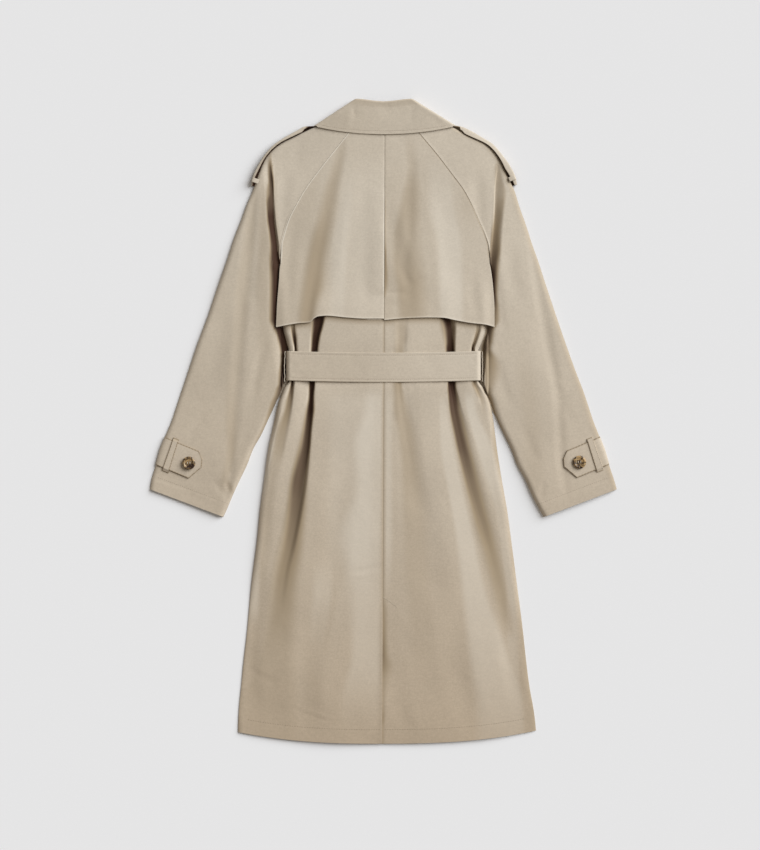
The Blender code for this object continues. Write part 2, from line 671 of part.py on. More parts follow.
def make_collar_fall():
    """Collar fall: rolled over at the top, turned round the neck at both sides."""
    columns = np.array(collar_polyline())
    low = columns[:, (0, 1, 4)]
    top = columns[:, (2, 3, 5)]
    top = top - np.array([0.0, 0.5 * CLOTH, 0.0])
    points = []
    for share in (0.0, 0.25, 0.5, 0.75):
        line = low + share * (top - low)
        points.append(line)
    roll_share = COLLAR_ROLL_Y / (top[:, 1] - low[:, 1])
    roll_start = top + (low - top) * roll_share[:, None]
    points.append(roll_start)
    for angle in (40, 80, 115):
        c, s = math.cos(math.radians(angle)), math.sin(math.radians(angle))
        line = roll_start.copy()
        line[:, 0] += (top[:, 0] - roll_start[:, 0]) * s + 0.5 * (1 - c) * columns[:, 6]
        line[:, 1] += COLLAR_ROLL_Y * s
        line[:, 2] += 0.5 * (1 - c) * columns[:, 7]
        points.append(line)
    return wall("collar_fall", points, CLOTH)


def make_collar_stand():
    """Collar stand, from the neck seam up into the roll of the fall."""
    points = []
    for y, z in ((505.5, 9.9), (515, 9.9), (528, 10.1), (538.0, 10.3)):
        half = 47.0 - 0.35 * (y - 505)
        x = np.linspace(-half, half, 9)
        points.append(np.column_stack((x, np.full(9, y) - 0.0009 * x * x * 0.5, np.full(9, z))))
    return wall("collar_stand", points, CLOTH)


# ---------------------------------------------------------------- belt


def make_belt():
    """Belt: a closed ring round the waist, pressed flat."""
    ring = []
    top, low = BELT_TOP_Z, 0.5 * STRAP_CLOTH
    radius = 0.5 * (top - low)
    end = BELT_HALF_LENGTH - radius
    for x in np.linspace(-end, end, 9):
        ring.append((x, top))
    for angle in (60, 30, 0, -30, -60):
        c, s = math.cos(math.radians(angle)), math.sin(math.radians(angle))
        ring.append((end + radius * c, low + radius + radius * s))
    for x in np.linspace(end, -end, 5):
        ring.append((x, low))
    for angle in (-60, -30, 0, 30, 60):
        c, s = math.cos(math.radians(angle)), math.sin(math.radians(angle))
        ring.append((-end - radius * c, low + radius + radius * s))
    points = []
    for across in (0.5, 0.17, -0.17, -0.5):
        row = []
        for x, z in ring:
            bow = -BELT_BOW * (1 - (x / BELT_HALF_LENGTH) ** 2)
            row.append((x, BELT_MIDDLE_Y + bow + across * BELT_WIDTH, z))
        points.append(row)
    return wall("belt", points, STRAP_CLOTH, closed=True)


def make_belt_loop(side):
    """Belt loop on the side seam: a strip that stands on edge outside the belt."""
    sign = SIDES[side]
    points = []
    for row in BELT_LOOP:
        points.append([(sign * getattr(row, side), row.y, z) for z in (2.6, 6.0, 10.0)])
    return wall(f"belt_loop_{side}", points, LOOP_CLOTH)


# ---------------------------------------------------------------- epaulettes


def path_normals(path):
    """Unit vectors across a flat path, towards the coat."""
    along = np.gradient(path, axis=0)
    along /= np.linalg.norm(along, axis=1)[:, None]
    normal = np.column_stack((along[:, 1], -along[:, 0]))
    inward = np.array([0.0, 300.0]) - path
    flip = np.sign(np.sum(normal * inward, axis=1))
    return normal * flip[:, None]


def make_epaulette(side):
    """Epaulette: its upper part stands along the shoulder edge, the rest lies under it."""
    path = np.array([(SIDES[side] * row.x, row.y) for row in EPAULETTE[side]])
    normal = path_normals(path)
    points = []
    for row in EPAULETTE_SECTION:
        flat = path + normal * row.inward
        points.append(np.column_stack((flat, np.full(len(flat), row.z))))
    return wall(f"epaulette_{side}", points, STRAP_CLOTH)


def make_epaulette_loop(side):
    """Loop over the tip of the epaulette, sewn to the sleeve."""
    path = np.array([(SIDES[side] * row.x, row.y) for row in EPAULETTE[side]])
    normal = path_normals(path)[-2]
    along = np.array([normal[1], -normal[0]])
    along *= np.sign(along[1])
    base = path[-2]
    points = []
    for inward, z in ((16.0, 11.0), (9.0, 12.0), (2.5, 12.6), (-0.6, 12.0), (-2.2, 10.2),
                      (-2.4, 6.0)):
        centre = base + normal * inward
        points.append([(*(centre + along * shift), z) for shift in (6.0, 0.0, -6.0)])
    return wall(f"epaulette_loop_{side}", points, LOOP_CLOTH)


# ---------------------------------------------------------------- sleeve straps


def sleeve_surface(side, line_y, from_outer):
    """Point of the top of the sleeve and its outward direction, by distance from its edge."""
    start, end = sleeve_ends(side, line_y)
    reach = np.array([end - from_outer])
    here = sleeve_points(side, line_y, reach, start, end)[0]
    inward = sleeve_points(side, line_y, reach - 0.4, start, end)[0] - here
    up = sleeve_points(side, line_y + 2.0, reach, *sleeve_ends(side, line_y + 2.0))[0] - here
    normal = np.cross(inward, up)
    normal /= np.linalg.norm(normal)
    return here, normal * (1.0 if normal[2] > 0 else -1.0)


def lay_on_sleeve(side, rows, height):
    """Grid of points lying a height above the middle of the sleeve's cloth."""
    points = []
    for row in rows:
        line = []
        for line_y, from_outer in row:
            here, normal = sleeve_surface(side, line_y, from_outer)
            line.append(here + normal * height)
        points.append(line)
    return points


STRAP_HEIGHT = 0.5 * CLOTH + GAP + 0.5 * STRAP_CLOTH + 0.3
STRAP_LOOP_HEIGHT = STRAP_HEIGHT + 0.5 * STRAP_CLOTH + GAP + 0.5 * LOOP_CLOTH + 0.1


def make_sleeve_strap(side):
    """Strap across the sleeve with a pointed end, turned round the outer edge."""
    rows = []
    ends = (STRAP["top_y"], STRAP["bottom_y"])
    for share in (0.0, 0.25, 0.5, 0.75, 1.0):
        line_y = ends[0] + share * (ends[1] - ends[0])
        point = 1.0 - abs(2.0 * share - 1.0)
        length = STRAP["shoulder"] + (STRAP["tip"] - STRAP["shoulder"]) * point
        columns = [0.15, 1.3, 4.4, 8.8, 14.0, 22.0, 34.0, 46.0, length - 9.0, length]
        rows.append([(line_y, distance) for distance in columns])
    return wall(f"sleeve_strap_{side}", lay_on_sleeve(side, rows, STRAP_HEIGHT), STRAP_CLOTH)


def make_strap_loop(side):
    """Loop that holds the strap, lying across it."""
    top, bottom = STRAP["top_y"] + 8.0, STRAP["bottom_y"] - 8.0
    over = STRAP_LOOP_HEIGHT
    on_sleeve = 0.5 * CLOTH + GAP + 0.5 * LOOP_CLOTH + 0.1
    rows = []
    for line_y, height in ((top, on_sleeve), (STRAP["top_y"] + 3.5, on_sleeve + 1.2),
                           (STRAP["top_y"] + 1.0, over), (-88.0, over),
                           (STRAP["bottom_y"] - 1.0, over),
                           (STRAP["bottom_y"] - 3.5, on_sleeve + 1.2), (bottom, on_sleeve)):
        row = []
        for across in (0.0, 0.5, 1.0):
            here, normal = sleeve_surface(side, line_y, STRAP_LOOP_FROM + across * STRAP_LOOP_WIDTH)
            row.append(here + normal * height)
        rows.append(row)
    return wall(f"strap_loop_{side}", rows, LOOP_CLOTH)


def make_button(side):
    """Four-hole button on the strap: a turned disc with a raised rim."""
    name = f"strap_button_{side}"
    x, y = STRAP_BUTTON[side]
    build = bmesh.new()
    rings = []
    for row in BUTTON_PROFILE:
        if row.radius == 0.0:
            rings.append([build.verts.new((0.0, 0.0, row.z * MM))])
            continue
        ring = []
        for i in range(BUTTON_SEGMENTS):
            angle = 2 * math.pi * i / BUTTON_SEGMENTS
            ring.append(build.verts.new((row.radius * math.cos(angle) * MM,
                                         row.radius * math.sin(angle) * MM, row.z * MM)))
        rings.append(ring)
    for low, high in zip(rings, rings[1:]):
        for i in range(BUTTON_SEGMENTS):
            j = (i + 1) % BUTTON_SEGMENTS
            corners = [low[i % len(low)], low[j % len(low)], high[j % len(high)],
                       high[i % len(high)]]
            build.faces.new(list(dict.fromkeys(corners)))
    bmesh.ops.recalc_face_normals(build, faces=build.faces)
    mesh_data = bpy.data.meshes.new(name)
    build.to_mesh(mesh_data)
    build.free()
    button = add_object(name, mesh_data, BUTTON_COLOUR, 0.3)
    button.location = (x * MM, y * MM, BUTTON_Z * MM)
    for i in range(4):
        angle = math.radians(45 + 90 * i)
        bpy.ops.mesh.primitive_cylinder_add(
            vertices=8, radius=HOLE_RADIUS * MM, depth=12 * MM,
            location=((x + HOLE_OFFSET * math.cos(angle)) * MM,
                      (y + HOLE_OFFSET * math.sin(angle)) * MM, BUTTON_Z * MM))
        cutter = bpy.context.active_object
        cutter.name = f"{name}_hole_{i}"
        cutter.hide_render = True
        cutter.display_type = "WIRE"
        cut = button.modifiers.new(f"hole_{i}", "BOOLEAN")
        cut.object = cutter
        cut.operation = "DIFFERENCE"
    return button


def main():
    for old in list(bpy.data.objects):
        bpy.data.objects.remove(old)
    for side in SIDES:
        make_back(side)
        make_flap(side)
        make_sleeve_back(side)
        make_sleeve_front(side)
        make_front(side)
        make_belt_loop(side)
        make_epaulette(side)
        make_epaulette_loop(side)
        make_sleeve_strap(side)
        make_strap_loop(side)
        make_button(side)
    make_flap_tab()
    make_collar_fall()
    make_collar_stand()
    make_belt()


main()
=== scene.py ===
import math
from collections import namedtuple

import bmesh
import bpy
import numpy as np
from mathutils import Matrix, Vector


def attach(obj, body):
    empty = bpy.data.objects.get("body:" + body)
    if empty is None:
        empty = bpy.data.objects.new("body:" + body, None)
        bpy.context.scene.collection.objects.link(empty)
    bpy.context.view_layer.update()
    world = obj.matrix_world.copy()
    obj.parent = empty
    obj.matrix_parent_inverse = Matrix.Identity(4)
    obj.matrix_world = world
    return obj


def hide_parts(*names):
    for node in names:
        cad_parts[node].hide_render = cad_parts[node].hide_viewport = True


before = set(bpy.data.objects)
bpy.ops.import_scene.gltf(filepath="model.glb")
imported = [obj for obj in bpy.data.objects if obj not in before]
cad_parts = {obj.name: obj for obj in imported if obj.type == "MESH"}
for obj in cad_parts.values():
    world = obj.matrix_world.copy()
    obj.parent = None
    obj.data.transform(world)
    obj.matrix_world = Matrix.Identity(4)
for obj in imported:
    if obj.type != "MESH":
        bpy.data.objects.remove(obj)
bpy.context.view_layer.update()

# Trench coat laid flat with its back upwards.  Tables are in millimetres; columns named
# left and right are distances out from the middle line of the coat.

MM = 0.001
SIDES = {"left": -1.0, "right": 1.0}

CLOTH = 1.4             # one panel with its facing or seam turnings
STRAP_CLOTH = 1.8       # belt, straps and epaulettes, which are double
LOOP_CLOTH = 1.2
GAP = 0.3               # between pieces at a seam

UNDERARM_Y = 268.0      # where the raglan seam ends and the free edge of the flap starts
FREE_SLEEVE_Y = 262.0   # below this the sleeve and the body are apart
RAGLAN_FULL_Y = 285.0   # above this the raglan seam is fully formed
HEM_Y = -547.0
VENT_TOP_Y = -297.0
VENT_UNDERLAP = 38.0
SEAM_LEAN = 0.0043      # the middle seam leans a little across the coat

EDGE_FLOOR = 0.4        # how far a turned-down edge stays above what it lies on
LAYER = CLOTH + 0.4     # from one panel to the next one on it
FLAP_LAYER = 2.5        # from the back to the storm flap on it
UNDER_LIFT = 2.1        # how much the belt, collar and epaulettes raise what lies on them
FRONT_INSET = 2.6
CUFF_INSET = (-1.4, 2.8)
TURN_ANGLES = (0, 15, 30, 45, 60, 75, 90)

BELT_TOP_Z = 14.5
BELT_HALF_LENGTH = 164.0
BELT_MIDDLE_Y = 94.5
BELT_BOW = 3.0
BELT_CLEARANCE = 4.0
BELT_Y = (46, 59, 125, 138)     # where its effect starts, is full and ends, upwards
SHOULDER_Y = (340, 372)         # where the shoulders start and are full

BUTTON_Z = 10.2
HOLE_RADIUS = 1.1
HOLE_OFFSET = 3.0

CLOTH_STEP = 3.6        # spacing of the points of a visible panel
HIDDEN_STEP = 9.0       # and of a hidden one
LEAST_HEIGHT = 0.03     # of the under side of any sheet over the ground
RIM_RADIUS = 0.42       # of a sheet's rounded rim, as a share of its thickness
RING_CLOSING = 3.0      # how far the weave runs on where a closed ring meets itself
TINY = 1e-9


def table(columns, *rows):
    """Rows of named columns."""
    row = namedtuple("Row", columns)
    return [row(*values) for values in rows]


def fold(*rows):
    """Course of a fold: its line, its width and its depth at each y."""
    return table("y x width depth", *rows)


def creases(*rows):
    """Soft creases from one point to another: a positive depth is a trough."""
    return table("x y to_x to_y width depth", *rows)


def shadow(*rows):
    """Course of a shadow: where it starts, is full and ends outwards, and how dark it is."""
    return table("y start full last end dark", *rows)


def curve(rows, column):
    """Smooth curve without overshoot through one column, against the first column."""
    rows = sorted(rows)
    at = np.array([row[0] for row in rows], float)
    value = np.array([getattr(row, column) for row in rows], float)
    slope = np.diff(value) / np.diff(at)
    tangent = np.zeros(len(at))
    tangent[0], tangent[-1] = slope[0], slope[-1]
    for i in range(1, len(at) - 1):
        before, after = slope[i - 1], slope[i]
        if before * after > 0:
            tangent[i] = 2 * before * after / (before + after)

    def value_at(where):
        where = np.clip(np.asarray(where, float), at[0], at[-1])
        i = np.clip(np.searchsorted(at, where) - 1, 0, len(at) - 2)
        span = at[i + 1] - at[i]
        t = (where - at[i]) / span
        ends = value[i] * (1 + 2 * t) * (1 - t) ** 2 + value[i + 1] * t * t * (3 - 2 * t)
        bends = tangent[i] * t * (1 - t) ** 2 - tangent[i + 1] * t * t * (1 - t)
        return ends + span * bends

    return value_at


def step(value, start, end):
    """Smooth rise from 0 at start to 1 at end."""
    t = np.clip((np.asarray(value, float) - start) / (end - start), 0.0, 1.0)
    return t * t * (3 - 2 * t)


def turn(distance, radius):
    """Share of its full height that a turned-down edge has at a distance inside it."""
    t = np.clip(np.asarray(distance, float) / radius, 0.0, 1.0)
    return np.sqrt(1.0 - (1.0 - t) ** 2)


def dip(offset, width):
    """Cross-section of a soft fold: 1 on its line, 0 at half its width."""
    t = np.clip(np.abs(offset) / (0.5 * width), 0.0, 1.0)
    return np.cos(0.5 * math.pi * t) ** 2


def tuck(offset, width):
    """Cross-section of a gather: steep towards the middle of the coat, soft outwards."""
    share = np.asarray(offset, float) / width
    steep = np.clip((-0.12 - share) / 0.36, 0.0, 1.0)
    narrow = np.clip((share - 0.12) / 0.55, 0.0, 1.0)
    wide = np.clip((share - 0.12) / 2.2, 0.0, 1.0)
    inner = np.cos(0.5 * math.pi * steep) ** 2
    outer = 0.62 * np.cos(0.5 * math.pi * narrow) ** 2 + 0.38 * np.cos(0.5 * math.pi * wide) ** 2
    return np.where(share < 0, inner, outer)


def box(offset, width):
    """Cross-section of a deep fold with a flat bottom and two steep sides."""
    share = np.abs(np.asarray(offset, float)) / width
    return np.cos(0.5 * math.pi * np.clip((share - 0.18) / 0.36, 0.0, 1.0)) ** 2


def fading(value, most, start, end):
    """Smooth fall from most at start to 0 at end."""
    return most * (1 - step(value, start, end))


def between(value, start, full, last, end):
    """Smooth rise from start to full, and fall from last to end."""
    return step(value, start, full) * (1 - step(value, last, end))


# ---------------------------------------------------------------- outlines

# Edge of the back: raglan seam down to the underarm, then the side down to the hem.
BODY_EDGE = table(
    "y left right", (502, 50.5, 51.5), (489, 60, 61), (454, 88, 90), (414, 119, 120.5),
    (393, 134, 136), (367, 149, 150), (341, 162, 161.5), (317, 169.5, 172), (296, 174.5, 178.5),
    (268, 176, 181), (220, 174.5, 179), (160, 171, 174), (136, 164.5, 167.5), (119, 160.5, 161),
    (69, 160.5, 161), (58, 168, 168.5), (37, 177, 178.5), (20, 181.5, 183.5), (3, 185, 186.5),
    (-48, 196, 193), (-99, 203, 201), (-150, 210, 210), (-201, 215, 217), (-278, 225, 227),
    (-354, 232, 237), (-431, 240.5, 245.6), (-507, 246.5, 256), (-547, 247.5, 259.5))

# The hem rises towards its corners, and the rows just above it share that rise.
HEM_RISE = 20.0
HEM_HALF = 250.0
HEM_POWER = 2.5
HEM_RISE_FROM = -440.0

# Height of the cloth over the ground, its fall towards the sides, and the radius of the
# turned-down side edges.  It is fullest where the belt gathers it.
BACK_HEIGHT = table("y height fall turn", (502, 6.9, 0.4, 8), (300, 6.9, 0.5, 8),
                    (268, 7.3, 0.5, 8), (220, 9.0, 0.5, 8), (180, 11.0, 0.5, 8),
                    (150, 12.0, 0.5, 8), (127, 12.6, 0.5, 7), (118, 12.4, 0.3, 7),
                    (66, 12.4, 0.3, 7), (56, 12.9, 0.5, 6), (37, 12.6, 0.6, 6), (3, 12.0, 0.8, 9),
                    (-50, 11.0, 1.0, 9), (-106, 10.0, 1.2, 9), (-210, 8.4, 1.4, 9),
                    (-350, 7.0, 1.4, 9), (-480, 6.0, 1.0, 9), (-547, 5.0, 0.4, 8))

# Folds that the belt draws into the back: where each one runs, its width and its depth.
GATHERS = {
    "left": (
        fold((200, 109, 20, 1.5), (171, 111, 20, 5.5), (145, 116, 17, 7.5), (119, 118, 14, 8),
             (92, 119, 12, 6), (65, 121, 12, 8), (3, 126, 14, 7), (-50, 132, 18, 6),
             (-106, 139, 22, 5), (-160, 149, 24, 4), (-210, 160, 26, 3), (-255, 171, 28, 2),
             (-327, 181, 28, 0)),
        fold((200, 155, 9, 0), (161, 154, 9, 3), (140, 151, 8, 5), (119, 149, 7, 7),
             (92, 151, 7, 4), (67, 153.5, 8, 6), (50, 157, 12, 4), (37, 159, 14, 3),
             (3, 166, 20, 2), (-40, 175, 22, 0.8), (-75, 182, 22, 0)),
    ),
    "right": (
        fold((200, 32, 24, 0.3), (169, 31, 24, 0.6), (119, 30, 20, 0.9), (92, 30, 20, 0.6),
             (63, 30, 20, 1.0), (12, 36, 26, 0.8), (-57, 50, 34, 0.5), (-106, 58, 36, 0)),
        fold((200, 110, 24, 1.5), (171, 111, 24, 5), (150, 112.5, 20, 7), (120, 113, 17, 8),
             (92, 115, 14, 6), (67, 115, 14, 7), (35, 120, 18, 5), (3, 126.5, 24, 3.4),
             (-45, 138, 30, 2.6), (-88, 147, 32, 2.2), (-175, 172, 34, 1.8), (-223, 186, 34, 1.3),
             (-300, 204, 32, 0.5), (-360, 213, 30, 0)),
        fold((200, 161, 10, 0), (159, 160, 10, 2.5), (140, 155.5, 9, 4), (122, 151, 7, 6),
             (92, 151, 7, 4), (67, 154, 8, 3.5), (50, 161, 11, 1.8), (37, 167, 14, 0.8),
             (13, 172, 14, 0)),
    ),
}

# Free side edge and lower edge of the storm flap.
FLAP_EDGE = table("y left right", (268, 174.8, 179.8), (258, 177.0, 182), (247, 179, 183.6),
                  (231, 180.5, 185.5), (198, 183, 188), (172, 183, 188), (160, 179, 187))
FLAP_HEM_Y = 172.0
FLAP_HEM = {
    "left": table("x y", (0, 174), (32, 174), (64, 176), (97, 179), (110, 178), (118, 174.5),
                  (124, 168), (146, 166), (180, 160)),
    "right": table("x y", (0, 171.5), (42, 175), (78, 176), (99, 175.6), (123, 171), (148, 166.6),
                   (172, 164), (188, 160)),
}
FLAP_FOLDS = {
    "left": (
        fold((480, 70, 28.6, 0), (446, 75, 28.6, 0.72), (394, 89, 31.2, 0.96),
             (300, 107, 28.6, 0.9), (220, 122, 26, 1.08), (172, 129, 26, 1.32)),
    ),
    "right": (
        fold((470, 48, 28.6, 0), (434, 47, 28.6, 0.6), (394, 43, 28.6, 0.72), (312, 43, 26, 0.72),
             (270, 35, 26, 0.72), (215, 42, 28.6, 0.48), (180, 44, 28.6, 0)),
    ),
}
# The left half of the flap laps over the right along this stretch of the middle line.
FLAP_LAP = table("y rise", (400, 0), (370, 0.8), (300, 1.2), (230, 1.2), (212, 0))

# Sleeve: the inner edge below the underarm, and the outer edge opposite each inner y.
SLEEVE_INNER = table("y left right", (268, 176, 181), (262, 177.5, 182.5), (245, 178, 183),
                     (205, 177, 182), (160, 174.5, 178.5), (130, 173, 174), (95, 172.5, 172.5),
                     (67, 170, 170.5), (50, 174.5, 175), (36, 181, 181.5), (20, 188, 187),
                     (4, 195.5, 192.5), (-23, 208, 205), (-48, 222, 217), (-74, 232, 227),
                     (-99, 244, 240.5), (-125, 256, 252), (-150, 266.5, 265), (-162, 272, 272))
SLEEVE_OUTER = table("y outer_y left right", (502, 508, 98, 102), (470, 486, 146, 142),
                     (440, 468, 180, 178), (410, 446, 200.5, 197), (380, 422, 211.5, 208.5),
                     (350, 392, 222, 222.5), (322, 366, 233, 230.5), (296, 340, 243, 240),
                     (281, 322, 250, 246), (268, 306, 256, 251), (245, 275, 266, 262),
                     (205, 232, 281, 276), (160, 181, 298, 293), (115, 130, 317, 310.5),
                     (67, 79, 334, 329), (36, 53.5, 342.5, 339), (4, 28, 351, 347.6),
                     (-23, 2.5, 359.5, 356), (-53, -23, 370, 366), (-85, -48.5, 380, 376),
                     (-115, -74, 387, 383.5), (-142, -99.5, 394.5, 392), (-162, -115, 397, 396.5))
SLEEVE_HEIGHT = table("y height outer_turn inner_turn", (502, 9.2, 7, 12), (430, 9.2, 7, 12),
                      (394, 9.0, 7, 12), (300, 8.4, 8, 13), (200, 8.0, 8, 15), (67, 7.4, 8, 12),
                      (0, 7.0, 8, 9), (-110, 6.2, 7, 8), (-162, 5.2, 7, 7))
# Deep crease between the shoulder and the arm, down to the underarm; it has full depth
# where its share is 1.
CREASE = table("y left right share", (470, 188, 189, 0), (452, 193, 194, 0.1),
               (430, 191, 192.5, 0.7), (410, 188.5, 190, 1), (394, 187, 188.5, 1),
               (345, 184, 187, 1), (296, 178, 183, 1), (281, 176.9, 181.9, 1), (268, 176, 181, 1),
               (262, 175, 180, 1), (200, 172, 177, 1))
CREASE_WALL = (-1.2, 1.4)
CREASE_SLOPE = 17.0
SLEEVE_FOLDS = {
    "left": fold((400, 216, 20, 0), (370, 221, 24, 1.0), (320, 227, 30, 1.5), (208, 239, 34, 1.7),
                 (125, 245, 32, 1.4), (23, 252, 28, 1.4), (-60, 258, 24, 1.4),
                 (-120, 264, 18, 1.2), (-160, 268, 16, 0.6)),
    "right": fold((350, 245, 24, 0), (310, 251, 26, 0.8), (244, 259, 28, 1.0),
                  (149, 276, 28, 1.0), (36, 296, 26, 1.3), (-62, 302, 26, 1.2), (-140, 312, 24, 0)),
}

# Free front edges under the back: from the neck across the middle, then straight down.
NECKLINE = table("y x", (502, -44), (470, -36), (400, 10), (330, 72), (320, 75))

# Collar fall: its back leaf, and the front leaves that its sides turn to.
COLLAR_LEAF = table("x low_y top_x top_y", (0, 486.5, 0, 542.5), (30, 487.5, 14, 543.5),
                    (60, 490, 27, 545.2), (90, 494.5, 37, 546.4), (112, 499, 43, 546.7))
COLLAR_CORNER = table("side low_x low_y top_x top_y", ("left", 118.5, 501, 49.5, 546.7),
                      ("right", 123.5, 501, 50.5, 546.7))
COLLAR_LOW_Z = 11.5
COLLAR_TOP_Z = 14.4
COLLAR_ROLL = 4.6
COLLAR_SIDE_ROLL = 1.8
COLLAR_ROLL_Y = 2.6

# Belt loops, which stand on edge outside the turn of the belt.
BELT_LOOP = table("y left right", (125, 163.5, 165.4), (121, 165.8, 166.3), (113, 168.0, 168.0),
                  (100, 169.2, 168.8), (88, 169.4, 169.0), (76, 168.8, 168.4), (69, 168.0, 167.6),
                  (63, 166.4, 166.4))

# Epaulettes: a strip round the outside of each shoulder edge, bowed out near its tip.
EPAULETTE = {
    "left": table("y x", (500.6, 113), (499.5, 133.5), (493, 146), (482, 166), (467.5, 187),
                  (452, 200.6), (433, 212.6), (412, 222), (400, 224)),
    "right": table("y x", (501.6, 119), (499.5, 132), (494, 144.5), (481, 167), (470, 184.5),
                   (452, 200.4), (433, 214), (416, 222.6), (402, 226)),
}

# Middle of the button on each sleeve strap.
STRAP_BUTTON = {"left": (-330.0, -70.5), "right": (332.0, -69.0)}


# ---------------------------------------------------------------- curves of the tables

BODY = {side: curve(BODY_EDGE, side) for side in SIDES}
BACK = {name: curve(BACK_HEIGHT, name) for name in ("height", "fall", "turn")}
FLAP_SIDE = {side: curve(FLAP_EDGE, side) for side in SIDES}
FLAP_LOW = {side: curve(FLAP_HEM[side], "y") for side in SIDES}
SLEEVE_IN = {side: curve(SLEEVE_INNER, side) for side in SIDES}
SLEEVE_OUT = {side: curve(SLEEVE_OUTER, side) for side in SIDES}
SLEEVE_OUT_Y = curve(SLEEVE_OUTER, "outer_y")
ARM = {name: curve(SLEEVE_HEIGHT, name) for name in ("height", "outer_turn", "inner_turn")}
CREASE_X = {side: curve(CREASE, side) for side in SIDES}
CREASE_SHARE = curve(CREASE, "share")
LAP_RISE = curve(FLAP_LAP, "rise")
NECK_X = curve(NECKLINE, "x")


def fold_curves(rows):
    """The line, width and depth of one fold, each as a curve."""
    return curve(rows, "x"), curve(rows, "width"), curve(rows, "depth")


BACK_FOLDS = {side: [fold_curves(rows) for rows in GATHERS[side]] for side in SIDES}
SOFT_FOLDS = {side: [fold_curves(rows) for rows in FLAP_FOLDS[side]] for side in SIDES}
ARM_FOLD = {side: fold_curves(SLEEVE_FOLDS[side]) for side in SIDES}


def across(side, out, y):
    """Place across the coat at a distance out, where the middle seam leans a little."""
    share = np.clip(1.0 - np.abs(out) / BODY[side](y), 0.0, 1.0)
    return SIDES[side] * out + SEAM_LEAN * y * share


def folds_depth(folds, out, y, section=dip):
    """How deep a set of folds is at a distance out from the middle line."""
    depth = np.zeros_like(out)
    for line, width, deep in folds:
        depth = np.maximum(depth, deep(y) * section(out - line(y), width(y)))
    return depth


def shoulder_lift(y):
    """How much the collar and epaulettes, on the ground, raise what lies on them."""
    return UNDER_LIFT * step(y, *SHOULDER_Y)


def belt_share(y):
    """1 along the belt, falling to 0 above and below it."""
    return between(y, *BELT_Y)


def on_raglan(y):
    """1 where the sleeve is sewn to the body, 0 from the underarm downwards."""
    return step(y, FREE_SLEEVE_Y, RAGLAN_FULL_Y)


def body_lift(y):
    """How much what lies under the body raises it, with the front run of the belt."""
    return np.maximum(shoulder_lift(y), UNDER_LIFT * belt_share(y))


CROWN_FALL = 1.8        # how much lower the sides of the body lie than its middle
FLAP_FOLDS_Y = (190, 215)   # above these the back has the folds of the flap on it too
SEWN_SIDE_Y = (255, 282)    # between these the free side edge passes into the raglan seam
BELT_EDGE_LIFT = 2.0    # of the side edges under the belt
LEAST_BODY = 2.3        # how high the bottom of the deepest gather stays
FLAP_HEM_LIFT = (0.2, 1.6)  # of the flap's lower edge: everywhere, and more further out
FLAP_HEM_LIFT_OUT = (84, 112)


def body_height(side, out, y):
    """Height of the back before its gathers and turned edges."""
    across = out / BODY[side](np.minimum(y, UNDERARM_Y))
    soft = folds_depth(SOFT_FOLDS[side], out, y) * step(y, *FLAP_FOLDS_Y)
    return BACK["height"](y) - (BACK["fall"](y) + CROWN_FALL) * across ** 2 - soft


def back_height(side, out, y):
    """Height of the back with its gathers and turned-down side edge."""
    ground = body_lift(y) + EDGE_FLOOR + BELT_EDGE_LIFT * belt_share(y)
    section = box if y > BELT_MIDDLE_Y else tuck
    height = body_height(side, out, y) - folds_depth(BACK_FOLDS[side], out, y, section)
    height = np.maximum(height, body_lift(y) + LEAST_BODY)
    turned = turn(BODY[side](y) - 0.5 * CLOTH - out, BACK["turn"](y))
    share = 1 - (1 - turned) * (1 - step(y, *SEWN_SIDE_Y))
    return ground + (height - ground) * share


def cover_height(side, out, y):
    """Height of the storm flap and of the shoulder that is sewn level with it."""
    folds = folds_depth(SOFT_FOLDS[side], out, y) * (1 - step(y, *FLAP_FOLDS_Y))
    least, more = FLAP_HEM_LIFT
    hem_rise = least + more * step(out, *FLAP_HEM_LIFT_OUT)
    hem_rise = fading(y, hem_rise, FLAP_HEM_Y, FREE_SLEEVE_Y)
    return body_height(side, out, y) + FLAP_LAYER + hem_rise - folds
